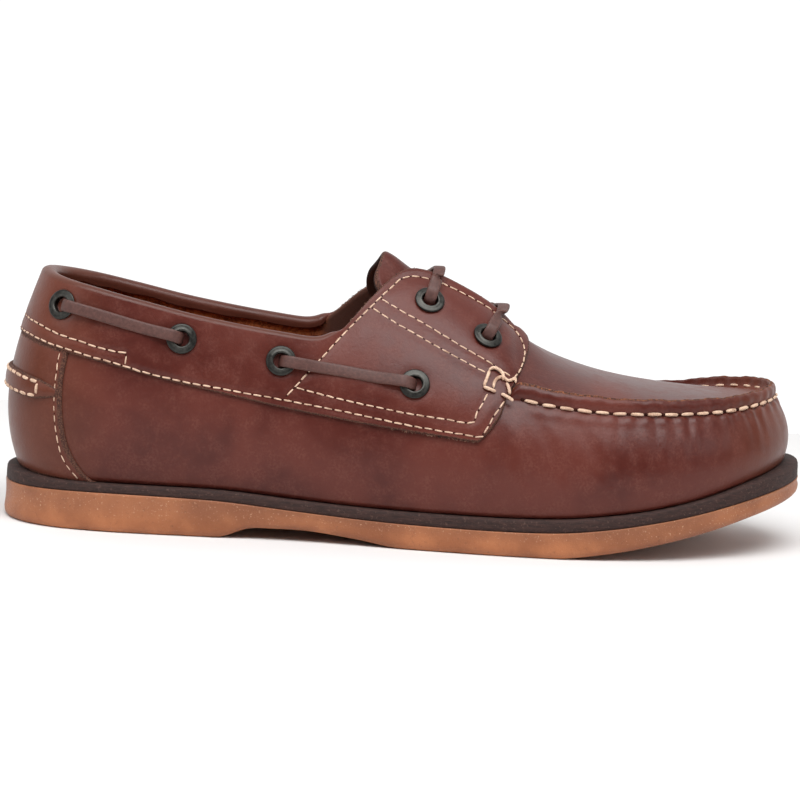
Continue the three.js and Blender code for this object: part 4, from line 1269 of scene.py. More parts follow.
for name in EYELETS:
    for side in SIDES:
        eyelet_ring(name, side)

# %% [markdown]
# The lace
# A flat leather thong comes out of one eyelet, lies along the leather and dives into the next. A flat
# section is carried along a smooth curve through a few places, turned so that its wide side follows.


# %% Thongs
THONG_SIDES = 24


def capped(rows, path):
    """A tube's rings, closed by a ring drawn in to the path's own point at each end."""
    sides = rows.shape[1]
    return np.concatenate([path[None, :1].repeat(sides, 1), rows, path[None, -1:].repeat(sides, 1)])


def thong(name, points, wides, node, width=4.4, thick=1.7, count=90):
    """A flat rounded section carried along the path; its wide direction is blended from stop to stop."""
    path = smooth_path(points, count)
    stops = run_along(points)
    at = np.linspace(0, stops[-1], count)
    wide = np.stack([blurred(np.interp(at, stops, np.asarray(wides)[:, k]), 3) for k in range(3)], -1)
    forward = unit(np.gradient(path, axis=0))
    wide = unit(wide - np.sum(wide * forward, 1, keepdims=True) * forward)
    up = np.cross(wide, forward)
    turn = np.linspace(0, 2 * np.pi, THONG_SIDES + 1)[:-1]
    c, s = np.cos(turn), np.sin(turn)
    across = np.sign(c) * np.abs(c) ** 0.45 * width / 2
    above = np.sign(s) * np.abs(s) ** 0.6 * thick / 2
    rows = path[:, None] + across[None, :, None] * wide[:, None] + above[None, :, None] * up[:, None]
    rows = capped(rows, path)
    faces = grid_faces(*rows.shape[:2], wrap_cols=True)
    side_share = np.concatenate([[0 * turn], np.tile(np.abs(across) / (width / 2), (count, 1)), [0 * turn]])
    loft(name, rows, faces, [node], "lace", {"side": side_share})


def bore_stops(name, side, leaving):
    """From inside the bore up over the flange's rim, leaving along the leather."""
    p, n = SEATS[name, side]
    lift = panel_height(name)
    places = [(-1.0, 0.0), (1.2, 0.3), (3.2, 1.7), (4.2, 4.2)]
    return [p + n * (lift + up) + leaving * away for up, away in places]


def side_thong(first, second, side):
    """Out of one bore, along the leather, and down the next."""
    (p, n), (q, m) = SEATS[first, side], SEATS[second, side]
    a, b = flat_part(q - p, n), flat_part(p - q, m)
    middle, wides = [], []
    for share in (0.3, 0.5, 0.7):
        at = mix(p, q, share)
        theta = angle_at(at[0], side)
        c, k = cover_frame(theta, level_under(at[0], at[2], side))
        bridge = 1.2 * (1 - share) ** 2 if first == "collar_back" else 0.0
        lift = mix(panel_height(first), panel_height(second), share) + 3.0 - np.sin(np.pi * share)
        middle.append(c + k * (lift + bridge))
        wides.append(np.cross(k, a))
    start, stop = bore_stops(first, side, a), bore_stops(second, side, b)
    wide_a, wide_b = np.cross(n, a), np.cross(m, -b)
    node = {"collar_back": "lace_back_", "collar_front": "lace_side_"}[first] + SIDES[side]
    thong(f"thong_{node}", start + middle + stop[::-1], [wide_a] * 4 + wides + [wide_b] * 4, node)


def bar_thong(name, node, forward, crown):
    """Over the throat from one eyelet to its mate on the other side."""
    halves = []
    for side in SIDES:
        p, n = SEATS[name, side]
        theta = angle_at(p[0] + forward, side)
        edge, out = cover_frame(theta, 2.0)
        over = edge + out * (panel_height(name) + 3.3)
        leaving = flat_part(over - p, n)
        wide = np.cross(n, leaving) * -side
        halves.append((bore_stops(name, side, leaving) + [over], wide))
    (left, wide_l), (right, wide_r) = halves
    top = (left[-1] + right[-1]) / 2 + np.array([0, 0, crown])
    middle = np.array([1.0, 0, 0])
    thong(f"thong_{node}", left + [top] + right[::-1], [wide_l] * 4 + [middle] * 3 + [wide_r] * 4, node)


for side in SIDES:
    side_thong("collar_back", "collar_side", side)
    side_thong("collar_front", "saddle_side", side)
bar_thong("throat_top", "lace_bar_top", 3.0, 0.5)
bar_thong("throat_low", "lace_bar_low", 5.4, 0.5)

# %% [markdown]
# Thread
# A lockstitch shows as a short bead of thread between two needle holes, and each bead dives into the
# leather at both ends. One small closed bead is worked out once and copied along every row with numpy,
# because a few hundred separate objects would be slow and gain nothing.

# %% One bead, copied along the rows
RNG = np.random.default_rng(7)
BEAD_SIDES = 6
BEAD = [(-0.5, -0.6, 0.4), (-0.4, 0.0, 0.85), (-0.16, 0.3, 1.0), (0.16, 0.3, 1.0), (0.4, 0.0, 0.85),
        (0.5, -0.6, 0.4)]


def bead_template():
    """Hexagons along a low arch: each row gives place along, height and size; flat caps close the ends."""
    turn = np.arange(BEAD_SIDES) * 2 * np.pi / BEAD_SIDES
    rings = [[(a, r * np.cos(t), h + r * np.sin(t)) for t in turn] for a, h, r in BEAD]
    points = np.array(rings).reshape(-1, 3)
    faces = grid_faces(len(BEAD), BEAD_SIDES, wrap_cols=True)
    last = (len(BEAD) - 1) * BEAD_SIDES
    cap = np.array([[0, 1, 2, 3], [0, 3, 4, 5]])
    caps = np.concatenate([cap, cap[:, ::-1] + last])
    return points, outward(points, np.concatenate([faces, caps[:, ::-1]]))


BEAD_POINTS, BEAD_FACES = bead_template()


def copy_beads(name, centres, alongs, outs, length, radius, finish="thread"):
    """Beads at the centres, each turned along its row and out of the leather, a little uneven in length."""
    count = len(centres)
    alongs = alongs / np.linalg.norm(alongs, axis=1, keepdims=True)
    outs = outs - np.sum(outs * alongs, 1, keepdims=True) * alongs
    outs /= np.linalg.norm(outs, axis=1, keepdims=True)
    across = np.cross(outs, alongs)
    skew = RNG.normal(0, 0.045, count)[:, None]
    alongs, across = alongs + across * skew, across - alongs * skew
    long = length * RNG.normal(1, 0.05, count)
    thick = radius * RNG.normal(1, 0.06, count)
    shift = RNG.normal(0, 0.04, count)
    a = BEAD_POINTS[None, :, 0] * long[:, None]
    b = BEAD_POINTS[None, :, 1] * thick[:, None] + shift[:, None]
    c = BEAD_POINTS[None, :, 2] * thick[:, None]
    points = (centres[:, None] + a[..., None] * alongs[:, None] + b[..., None] * across[:, None]
              + c[..., None] * outs[:, None])
    faces = (BEAD_FACES[None] + (np.arange(count) * len(BEAD_POINTS))[:, None, None]).reshape(-1, 4)
    run = np.tile(BEAD_POINTS[:, 0], count)
    obj = make_object(name, points, faces, floats={"run": run * length})
    keep(name, obj, [], finish)
    return obj


def spaced(line, outs, pitch, start=0.5):
    """Centres, directions and normals at even steps along a line; the last step is stretched to fit."""
    arc = np.concatenate([[0], np.cumsum(np.linalg.norm(np.diff(line, axis=0), axis=1))])
    count = max(1, int(round(arc[-1] / pitch)))
    at = (np.arange(count) + start) * arc[-1] / count
    pick = lambda values: np.stack([np.interp(at, arc, values[:, k]) for k in range(3)], -1)
    direction = np.gradient(line, axis=0)
    return pick(line), pick(direction), pick(outs)


def row_on_sheet(theta, v, distance=6.0):
    """A row raised to the sheet's surface, at the bottom of its groove."""
    base, n = cover_frame(theta, v)
    height = sheet_height(theta, np.full_like(v, distance), 0.0 * v)
    return base + n * height[:, None], n


def join(parts):
    """Several rows as one: places, directions and normals end to end."""
    return [np.concatenate(values) for values in zip(*parts)]


# %% [markdown]
# Stitches in their grooves
# Every row is raised to the bottom of its groove, divided into even steps, and given a bead at each step.

# %% Machine stitches
machine = [spaced(*row_on_sheet(theta, v), STITCH_PITCH) for theta, v in ROW_LINES]
copy_beads("seam_stitches", *join(machine), STITCH_LENGTH, STITCH_RADIUS)

COUNTER_ROW = [(17.2, 65.0), (17.0, 61.0), (17.0, 55.6), (17.0, 51.3), (17.2, 45.2), (17.9, 37.9),
               (18.8, 31.8), (20.2, 26.3), (22.8, 21.9), (26.1, 18.3), (27.6, 17.0)]


def row_on_counter(sign):
    """The counter's row, at even steps, raised to its leather."""
    flat = smooth_path(COUNTER_ROW, 90)
    theta = angle_at(flat[:, 0], LATERAL)
    base, n = cover_frame(theta * sign, level_at(theta * sign, flat[:, 1]))
    return base + n * 0.85, n


counter_rows = [spaced(*row_on_counter(sign), STITCH_PITCH) for sign in (1, -1)]
copy_beads("counter_stitches", *join(counter_rows), STITCH_LENGTH, STITCH_RADIUS)

# %% [markdown]
# Needle holes
# The needle leaves a small hole between two stitches, and shade falls in it. At this size a short dark
# bead in the groove, painted shade, shows it better than a real hole.

# %% Needle holes
HOLE_LENGTH, HOLE_RADIUS = 0.9, 0.25
# Painted shade: each short dark bead stands for the shade inside a needle hole.
hole_shades = [spaced(*row_on_sheet(theta, v), STITCH_PITCH, 0.0) for theta, v in ROW_LINES]
hole_shades += [spaced(*row_on_counter(sign), STITCH_PITCH, 0.0) for sign in (1, -1)]
copy_beads("needle_hole_shades", *join(hole_shades), HOLE_LENGTH, HOLE_RADIUS, finish="hole")

# %% [markdown]
# Hand stitches
# The strap is sewn by hand with thicker thread: one row above, one below, and a bar at each end.

# %% Thick thread on the strap
STRAP_STITCH_HIGH = [(0, 54.9), (3, 54.6), (8, 53.6), (11.6, 53.1)]
STRAP_STITCH_LOW = [(0, 49.2), (3, 48.7), (8, 48.1), (11.2, 48.3)]
THICK_PITCH, THICK_LENGTH, THICK_RADIUS = 4.5, 3.5, 0.62


def strap_row(heights):
    """A row right round the strap at heights given over x."""
    reach = float(angle_at(heights[-1][0], LATERAL))
    theta = np.linspace(-reach, reach, 160)
    z = np.interp(station(theta), *np.array(heights).T)
    base, n = cover_frame(theta, level_at(theta, z))
    return base + n * (strap_swell(theta, 0.25) + 0.8)[:, None], n


def strap_bar(sign):
    """The upright bar of stitches near the strap's end."""
    theta = np.full(20, float(angle_at(11.5, LATERAL)) * sign)
    base, n = cover_frame(theta, level_at(theta, np.linspace(53.0, 48.4, 20)))
    return base + n * (strap_swell(theta, 0.5) + 1.0)[:, None], n


thick_rows = [spaced(*strap_row(heights), THICK_PITCH) for heights in (STRAP_STITCH_HIGH, STRAP_STITCH_LOW)]
thick_rows += [spaced(*strap_bar(sign), 5.0) for sign in (1, -1)]
copy_beads("strap_stitches", *join(thick_rows), THICK_LENGTH, THICK_RADIUS)

# %% [markdown]
# Frayed fibres
# Where the saddles were cut, loose fibres of the leather's flesh side stand out of the edge. They are tiny
# beads strewn along the throat's edge and under the saddle's lower corner, each turned its own way.

# %% Frayed fibres
FRAY_COUNT, FRAY_LENGTH, FRAY_RADIUS = 150, 1.1, 0.11


def fray_places(sign):
    """Places along the throat's rear and front edges, and along the saddle's lower edge near its corner."""
    rear = RNG.uniform(124, 186, FRAY_COUNT)
    theta = angle_at(rear, LATERAL) * sign
    base, n = cover_frame(theta, np.full(FRAY_COUNT, 1.995))
    along = cover(theta + 0.01, 2.0) - cover(theta - 0.01, 2.0)
    top = base + n * RNG.uniform(0.3, 1.7, FRAY_COUNT)[:, None]
    low_x = RNG.uniform(140, 171, FRAY_COUNT // 2)
    low_theta = angle_at(low_x, LATERAL) * sign
    low, m = cover_frame(low_theta, band_low(low_theta) - 0.003)
    low_along = cover(low_theta + 0.01, 0.6) - cover(low_theta - 0.01, 0.6)
    low = low + m * RNG.uniform(0.2, 0.9, len(low_x))[:, None]
    return np.concatenate([top, low]), np.concatenate([along, low_along]), np.concatenate([n, m])


fray, fray_along, fray_out = join([fray_places(sign) for sign in (1, -1)])
fray_along /= np.linalg.norm(fray_along, axis=1, keepdims=True)
fray_along = fray_along + RNG.normal(0, 0.9, fray_along.shape)
copy_beads("frayed_fibres", fray, fray_along, fray_out, FRAY_LENGTH, FRAY_RADIUS, finish="fibre")

# %% [markdown]
# Thread through the raised seam
# This thread goes through the raised seam from side to side, so a long stitch shows on its outer face and
# a shorter one over the apron. The puckers share its pitch.

# %% The moccasin seam's thread
MOC_LENGTH, MOC_RADIUS = 5.1, 0.64
MOC_HOLE_LENGTH, MOC_HOLE_RADIUS = 1.7, 0.5


def moc_row(across, up, outward_way, start=0.5):
    """A row along the raised seam, at a place in its section, facing out of it or in over the apron."""
    count = int(MOC_ARC[-1] / MOC_PITCH)
    arc = (np.arange(count) + start) * MOC_PITCH
    theta = np.interp(arc, MOC_ARC, MOC_THETA)
    theta = np.where(theta > np.pi, theta - 2 * np.pi, theta)
    step = 0.01
    _, line = inward(theta)
    line = np.concatenate([line, np.zeros((count, 1))], -1)
    seam = skin(theta, 1.0)
    along = skin(theta + step, 1.0) - skin(theta - step, 1.0)
    centre = seam + line * across + np.array([0, 0, up])
    out = line * outward_way + np.array([0, 0, 0.35])
    return centre, along, out


copy_beads("moc_stitches", *moc_row(-0.2, 0.75, -1.0), MOC_LENGTH, MOC_RADIUS)
# Painted shade: dark beads between the seam's stitches stand for the shade in the thread's holes.
copy_beads("moc_hole_shades", *moc_row(0.1, 0.7, -1.0, 0.0), MOC_HOLE_LENGTH, MOC_HOLE_RADIUS, finish="hole")
copy_beads("moc_stitches_inside", *moc_row(2.95, 1.7, 1.0), MOC_LENGTH * 0.8, MOC_RADIUS * 0.75)

# %% [markdown]
# The corner tack
# Where the saddle's corner meets the raised seam a few crossed threads hold it. Each is a round thread
# along a curve, its ends sunk into the leather.

# %% The tack at the saddle's corner
TACK = [
    [(174.9, 65.9), (174.0, 63.3), (173.0, 60.9)],
    [(174.6, 66.0), (176.2, 66.6), (178.0, 66.0), (179.5, 64.6), (179.7, 62.6)],
    [(176.5, 60.1), (176.6, 61.8), (177.6, 63.3), (179.5, 63.7),
     (181.2, 62.6), (182.4, 62.6), (184.0, 63.1), (184.6, 61.6)],
    [(172.8, 60.6), (175.0, 59.8), (177.3, 59.0)],
    [(181.0, 61.9), (181.8, 60.0), (182.3, 58.2)],
    [(179.2, 58.4), (181.3, 57.3), (183.6, 56.0)],
]
TACK_RADIUS = 0.62
TACK_SIDES = 10
TACK_STEPS = 24


def tack_threads(sign):
    """Short round threads laid over the saddle's corner, their ends sunk into the leather."""
    for index, points in enumerate(TACK):
        flat = smooth_path(points, TACK_STEPS)
        theta = angle_at(flat[:, 0], LATERAL)
        v = level_under(flat[:, 0], flat[:, 1] - 1.0, LATERAL)
        base, n = cover_frame(theta * sign, v)
        share = np.linspace(0, 1, TACK_STEPS)
        lift = SADDLE_THICK + 0.35 + 0.35 * np.sin(np.pi * share) ** 0.5 + 0.25 * (index % 2)
        path = base + n * lift[:, None]
        along = unit(np.gradient(path, axis=0))
        side = np.cross(n, along)
        turn = np.linspace(0, 2 * np.pi, TACK_SIDES + 1)[:-1, None]
        radius = TACK_RADIUS * np.sqrt(np.clip(1 - (2 * share - 1) ** 8, 0.02, 1))
        ring = np.cos(turn) * side[:, None] + np.sin(turn) * np.cross(along, side)[:, None]
        yield capped(path[:, None] + ring * radius[:, None, None], path)


def corner_tacks():
    """All of the tacks' threads as one mesh."""
    points, faces, base = [], [], 0
    for sign in (1, -1):
        for rows in tack_threads(sign):
            faces.append(outward(rows, grid_faces(*rows.shape[:2], wrap_cols=True)) + base)
            points.append(rows.reshape(-1, 3))
            base += len(points[-1])
    points = np.concatenate(points)
    run = points[:, 0] + points[:, 2]
    obj = make_object("corner_tacks", points, np.concatenate(faces), {"run": run})
    keep("corner_tacks", obj, [], "thread")


corner_tacks()

# %% [markdown]
# Building finishes out of nodes
# A finish that several pieces share, such as the leather's cloudy colour or its grain, is a node group
# with named sockets. Each material then places the group with its own values, so one change reaches all.

# %% Node helpers
def connect(tree, node, inputs):
    """Fills sockets by name or number: a value goes on the socket, another node's output is linked."""
    for key, value in inputs.items():
        if isinstance(value, bpy.types.NodeSocket):
            tree.links.new(value, node.inputs[key])
        else:
            node.inputs[key].default_value = value


def add_node(tree, kind, inputs=None, **settings):
    """A node with its settings and inputs; an input is a value, or a socket to link from."""
    node = tree.nodes.new(kind)
    for key, value in settings.items():
        setattr(node, key, value)
    connect(tree, node, inputs or {})
    return node


def blend_colour(tree, share, first, second):
    """Mixes two colours by a share; sockets 6 and 7 of the node are its colours, output 2 its result."""
    node = add_node(tree, "ShaderNodeMix", {0: share, 6: first, 7: second}, data_type="RGBA")
    return node.outputs[2]


def maths(tree, operation, first, second=0.0, third=0.0):
    """A maths node of one, two or three values."""
    node = add_node(tree, "ShaderNodeMath", {0: first, 1: second, 2: third}, operation=operation)
    return node.outputs[0]


def times(tree, first, second):
    """First times second."""
    return maths(tree, "MULTIPLY", first, second)


def plus(tree, first, second):
    """First plus second."""
    return maths(tree, "ADD", first, second)


def minus(tree, first, second):
    """First minus second."""
    return maths(tree, "SUBTRACT", first, second)


def spread(tree, value, low, high, to_low=0.0, to_high=1.0):
    """Maps a range smoothly onto another."""
    node = add_node(tree, "ShaderNodeMapRange", {0: value, 1: low, 2: high, 3: to_low, 4: to_high},
                    interpolation_type="SMOOTHSTEP")
    return node.outputs[0]


def noise(tree, vector, scale, detail=3.0, rough=0.55, distort=0.0):
    """Cloudy noise, from 0 to 1."""
    node = add_node(tree, "ShaderNodeTexNoise", {
        "Vector": vector, "Scale": scale, "Detail": detail, "Roughness": rough, "Distortion": distort,
    })
    return node.outputs["Fac"]


def new_group(name, ins, outs):
    """An empty node group with named sockets."""
    tree = bpy.data.node_groups.new(name, "ShaderNodeTree")
    kinds = {"colour": "NodeSocketColor", "value": "NodeSocketFloat", "vector": "NodeSocketVector"}
    for label, kind in ins:
        tree.interface.new_socket(label, in_out="INPUT", socket_type=kinds[kind])
    for label, kind in outs:
        tree.interface.new_socket(label, in_out="OUTPUT", socket_type=kinds[kind])
    return tree, tree.nodes.new("NodeGroupInput").outputs, tree.nodes.new("NodeGroupOutput")


def use_group(tree, group, **inputs):
    """Places a group; its inputs are given by their sockets' names."""
    node = add_node(tree, "ShaderNodeGroup", node_tree=group)
    connect(tree, node, inputs)
    return node.outputs


# %% [markdown]
# Leather that pulls up
# Oiled leather is cloudy: wax moves away where the hide is stretched, so broad patches and small mottles
# go paler. Waxed fibre ends give fine specks. The group returns the colour and how worn the wax is.

# %% Cloudy colour
def cloudy_group():
    """Broad clouds between two tones, mottled, with pale specks; also how far the wax has worn."""
    tree, ins, out = new_group(
        "cloudy_leather",
        [("Vector", "vector"), ("Deep", "colour"), ("Middle", "colour"), ("Pale", "colour")],
        [("Color", "colour"), ("Wear", "value")],
    )
    broad = spread(tree, noise(tree, ins["Vector"], 26.0, 2.0, 0.5, 0.4), 0.36, 0.66)
    mottle = spread(tree, noise(tree, ins["Vector"], 170.0, 4.0, 0.6, 0.3), 0.35, 0.7)
    fine = spread(tree, noise(tree, ins["Vector"], 1100.0, 3.0, 0.6), 0.38, 0.66)
    ground = blend_colour(tree, broad, ins["Deep"], ins["Middle"])
    ground = blend_colour(tree, times(tree, mottle, 0.3), ground, ins["Middle"])
    speck = times(tree, times(tree, fine, mottle), 0.16)
    pale = blend_colour(tree, speck, ground, ins["Pale"])
    wear = plus(tree, times(tree, broad, 0.5), times(tree, mottle, 0.5))
    connect(tree, out, {"Color": pale, "Wear": wear})
    return tree


# %% [markdown]
# Grain and cut edges
# Grain is a height, used for bump only. Where leather is cut, a second group gives a ragged mask and the
# fibres in it.

# %% Grain and cut edges
def grain_group():
    """Pores and pebbles about a millimetre wide, under finer noise, with a few long fine wrinkles."""
    tree, ins, out = new_group(
        "leather_grain", [("Vector", "vector"), ("Wrinkle", "value")], [("Height", "value")])
    inputs = {"Vector": ins["Vector"], "Scale": 820.0, "Smoothness": 0.6}
    cells = add_node(tree, "ShaderNodeTexVoronoi", inputs, feature="SMOOTH_F1").outputs["Distance"]
    pores = noise(tree, ins["Vector"], 2200.0, 2.0, 0.5)
    long = noise(tree, ins["Vector"], 95.0, 5.0, 0.62, 1.6)
    fold = spread(tree, maths(tree, "ABSOLUTE", minus(tree, long, 0.5)), 0.0, 0.035)
    height = plus(tree, times(tree, cells, 0.55), times(tree, pores, 0.45))
    height = plus(tree, height, times(tree, fold, ins["Wrinkle"]))
    connect(tree, out, {"Height": height})
    return tree


def raw_edge_group():
    """Where leather is cut: a mask that is 1 at the edge, its limit ragged as if fibres stood out."""
    tree, ins, out = new_group(
        "cut_edge", [("Vector", "vector"), ("Distance", "value"), ("Width", "value")],
        [("Mask", "value"), ("Fibre", "value")])
    rough = noise(tree, ins["Vector"], 900.0, 4.0, 0.7)
    ragged = times(tree, minus(tree, rough, 0.45), 1.6)
    away = minus(tree, ins["Distance"], times(tree, ragged, ins["Width"]))
    share = maths(tree, "DIVIDE", away, ins["Width"])
    mask = spread(tree, share, 0.6, 1.1, 1.0, 0.0)
    fibre = noise(tree, ins["Vector"], 1700.0, 4.0, 0.75)
    connect(tree, out, {"Mask": mask, "Fibre": fibre})
    return tree


CLOUDY, GRAIN, CUT_EDGE = cloudy_group(), grain_group(), raw_edge_group()
print("node groups", len(bpy.data.node_groups))


# %% [markdown]
# Starting and filling a material
# Each material starts with its shader and with the piece's own coordinates, which don't change when the
# piece is moved. One function fills the shader's sockets at the end.

# %% Materials
def start_material(name):
    """A new material, its node tree, its Principled shader and the object coordinates."""
    material = bpy.data.materials.new(name)
    material.use_nodes = True
    tree = material.node_tree
    shader = tree.nodes["Principled BSDF"]
    where = tree.nodes.new("ShaderNodeTexCoord").outputs["Object"]
    return material, tree, shader, where


def attribute(tree, name):
    """A value stored with the mesh's points."""
    node = add_node(tree, "ShaderNodeAttribute", attribute_name=name, attribute_type="GEOMETRY")
    return node.outputs["Fac"]


def axes(tree, where):
    """X, Y and Z of the object coordinates."""
    return add_node(tree, "ShaderNodeSeparateXYZ", {0: where}).outputs


def bump(tree, height, strength, distance):
    """Bends the normal by the slope of a height; the distance is in metres."""
    inputs = {"Height": height, "Strength": strength, "Distance": distance}
    return add_node(tree, "ShaderNodeBump", inputs).outputs[0]


def coat(tree, shader, colour, rough, relief=None, **others):
    """Fills the shader: colour, roughness, a relief of height, strength and depth, and other sockets."""
    connect(tree, shader, {"Base Color": colour, "Roughness": rough})
    connect(tree, shader, {key.replace("_", " "): value for key, value in others.items()})
    if relief:
        tree.links.new(bump(tree, *relief), shader.inputs["Normal"])


# %% [markdown]
# The shoe's leather
# Colours are named once. The same leather dresses upper, panels and tongue, and each piece adds what is
# its own: the seam's raw top, the lining, or the collar's facing.

# %% Leather
DEEP, MIDDLE, PALE = (0.070, 0.0120, 0.0080, 1), (0.112, 0.0235, 0.0155, 1), (0.25, 0.10, 0.075, 1)
WARM = (0.150, 0.042, 0.018, 1)
RAW_DARK, RAW_FIBRE = (0.040, 0.014, 0.010, 1), (0.17, 0.070, 0.042, 1)
SUEDE_DEEP, SUEDE_PALE = (0.17, 0.034, 0.010, 1), (0.52, 0.15, 0.045, 1)


def leather(name, edges="edge", extra=None, wrinkle=0.18, cut_width=0.8):
    """Waxed leather: cloudy colour, warmer at heel and toe, grain, and dark fibres at the cut edge."""
    material, tree, shader, where = start_material(name)
    tone = use_group(tree, CLOUDY, Vector=where, Deep=DEEP, Middle=MIDDLE, Pale=PALE)
    x = axes(tree, where)["X"]
    ends = plus(tree, spread(tree, x, -0.105, -0.142), spread(tree, x, 0.105, 0.148))
    colour = blend_colour(tree, times(tree, ends, 0.5), tone["Color"], WARM)
    grain = use_group(tree, GRAIN, Vector=where, Wrinkle=wrinkle)["Height"]
    rough = spread(tree, tone["Wear"], 0.0, 1.0, 0.33, 0.45)
    if edges:
        distance = attribute(tree, edges)
        cut = use_group(tree, CUT_EDGE, Vector=where, Distance=distance, Width=cut_width)
        fibre = blend_colour(tree, spread(tree, cut["Fibre"], 0.4, 0.7), RAW_DARK, RAW_FIBRE)
        colour = blend_colour(tree, cut["Mask"], colour, fibre)
        rough = plus(tree, rough, times(tree, cut["Mask"], 0.4))
        loose = times(tree, times(tree, cut["Fibre"], cut["Mask"]), 3.0)
        grain = plus(tree, grain, loose)
    if extra:
        colour, rough, grain = extra(tree, where, colour, rough, grain)
    coat(tree, shader, colour, rough, (grain, 0.32, 0.00016), Specular_IOR_Level=0.3)
    return material


def suede_colour(tree, where):
    """Brushed suede: a soft nap of pale and dark fibres in small clouds."""
    nap = noise(tree, where, 420.0, 5.0, 0.7, 0.6)
    tone = blend_colour(tree, spread(tree, nap, 0.34, 0.66), SUEDE_DEEP, SUEDE_PALE)
    return tone, noise(tree, where, 1500.0, 4.0, 0.75)


def upper_extra(tree, where, colour, rough, grain):
    """Raw top of the seam in orange fibre; inside, suede at the ankle, and ahead of it lining painted dark
    as shade.
    """
    raw = attribute(tree, "raw")
    fibre = noise(tree, where, 1300.0, 4.0, 0.75)
    ragged = plus(tree, raw, times(tree, minus(tree, fibre, 0.5), 0.7))
    raw_mask = spread(tree, ragged, 0.42, 0.72)
    orange = blend_colour(tree, spread(tree, fibre, 0.42, 0.68), RAW_DARK, (0.30, 0.10, 0.042, 1))
    colour = blend_colour(tree, raw_mask, colour, orange)
    inside = attribute(tree, "inside")
    nap, nap_height = suede_colour(tree, where)
    # Ahead of the ankle the inside is painted dark brown: painted shade deep in the shoe, under the throat.
    shade_ahead = spread(tree, axes(tree, where)["X"], -0.036, -0.028)
    lining = blend_colour(tree, shade_ahead, nap, (0.085, 0.032, 0.021, 1))
    colour = blend_colour(tree, inside, colour, lining)
    worn = maths(tree, "MAXIMUM", raw_mask, inside)
    rough = plus(tree, rough, times(tree, worn, 0.42))
    grain = plus(tree, grain, times(tree, times(tree, nap_height, worn), 3.5))
    return colour, rough, grain


def facing_extra(tree, where, colour, rough, grain):
    """The collar's facing inside the rim is a darker, plainer leather."""
    facing = attribute(tree, "facing")
    colour = blend_colour(tree, times(tree, facing, 0.6), colour, (0.09, 0.030, 0.018, 1))
    return colour, rough, grain


def tongue_extra(tree, where, colour, rough, grain):
    """The tongue's underside is plain and dark."""
    inside = attribute(tree, "inside")
    return blend_colour(tree, inside, colour, (0.03, 0.012, 0.009, 1)), rough, grain


# %% [markdown]
# Suede, lace and thread
# Suede is all nap and no shine. Thong leather is matt, thread is cotton with slanting plies, and loose
# fibres are dry.

# %% Suede, lace and thread
LACE_DARK, LACE_PALE = (0.062, 0.021, 0.016, 1), (0.105, 0.040, 0.031, 1)
COTTON, SOILED = (0.72, 0.50, 0.36, 1), (0.40, 0.23, 0.15, 1)


def suede(name):
    """Suede for the insole, with a little sheen."""
    material, tree, shader, where = start_material(name)
    colour, height = suede_colour(tree, where)
    coat(tree, shader, colour, 0.95, (height, 0.6, 0.0004), Sheen_Weight=0.3)
    return material


def lace_leather(name):
    """Matt thong leather: dark face, fine fibres along it, and a painted sheen that makes its narrow sides
    paler.
    """
    material, tree, shader, where = start_material(name)
    side = spread(tree, attribute(tree, "side"), 0.93, 1.0)
    nap = noise(tree, where, 900.0, 4.0, 0.7)
    face = blend_colour(tree, spread(tree, nap, 0.3, 0.75), LACE_DARK, LACE_PALE)
    # Painted sheen: the thong's narrow sides are made paler, where light catches its edges.
    colour = blend_colour(tree, times(tree, side, 0.35), face, (0.19, 0.085, 0.06, 1))
    coat(tree, shader, colour, 0.55, (nap, 0.25, 0.0002))
    return material


def thread_material(name):
    """Waxed cotton: cream, a little soiled, with slanting plies."""
    material, tree, shader, where = start_material(name)
    soil = noise(tree, where, 260.0, 4.0, 0.7)
    colour = blend_colour(tree, spread(tree, soil, 0.42, 0.72), COTTON, SOILED)
    plies = maths(tree, "SINE", times(tree, attribute(tree, "run"), 9.0))
    coat(tree, shader, colour, 0.6, (plies, 0.35, 0.00012))
    return material


# %% [markdown]
# Metal and leatherboard
# The rings are blackened, and paler where they stand up: rubbed wear, and a painted highlight on their lip.
# The midsole is pressed fibre, whose flat strands run along its edge.

# %% Metal and leatherboard
def antique_metal(name):
    """Blackened brass: dark in the hollows, paler where it stands up from rubbed wear and a painted
    highlight.
    """
    material, tree, shader, where = start_material(name)
    proud = spread(tree, attribute(tree, "proud"), 0.35, 1.0)
    blotch = noise(tree, where, 700.0, 4.0, 0.65)
    # Paler on the raised lip and rim: partly rubbed wear, partly a painted highlight.
    rubbed_and_highlight = times(tree, proud, spread(tree, blotch, 0.3, 0.7, 0.35, 1.0))
    colour = blend_colour(tree, rubbed_and_highlight, (0.016, 0.016, 0.015, 1), (0.085, 0.083, 0.075, 1))
    rough = spread(tree, blotch, 0.3, 0.7, 0.3, 0.46)
    coat(tree, shader, colour, rough, (blotch, 0.15, 0.0001), Metallic=0.85)
    return material


def midsole_material(name):
    """Dark leatherboard: matt, with flat fibres that run along the edge, and a little dust."""
    material, tree, shader, where = start_material(name)
    flat = add_node(tree, "ShaderNodeMapping", {0: where, 3: (1, 1, 5)}).outputs[0]
    fibre = noise(tree, flat, 260.0, 5.0, 0.7)
    dust = spread(tree, noise(tree, where, 900.0, 3.0, 0.6), 0.56, 0.74)
    dark, brown = (0.019, 0.0060, 0.0042, 1), (0.044, 0.0160, 0.0115, 1)
    colour = blend_colour(tree, spread(tree, fibre, 0.35, 0.68), dark, brown)
    colour = blend_colour(tree, times(tree, dust, 0.45), colour, (0.16, 0.085, 0.065, 1))
    coat(tree, shader, colour, 0.8, (fibre, 0.6, 0.0004))
    return material


# %% [markdown]
# Gum rubber
# Gum rubber is cloudy with pale specks. Under the sole a sine across another sine gives wavy razor cuts,
# darkened with painted shade.

# %% Gum rubber
GUM_DEEP, GUM_PALE = (0.26, 0.083, 0.030, 1), (0.43, 0.152, 0.058, 1)


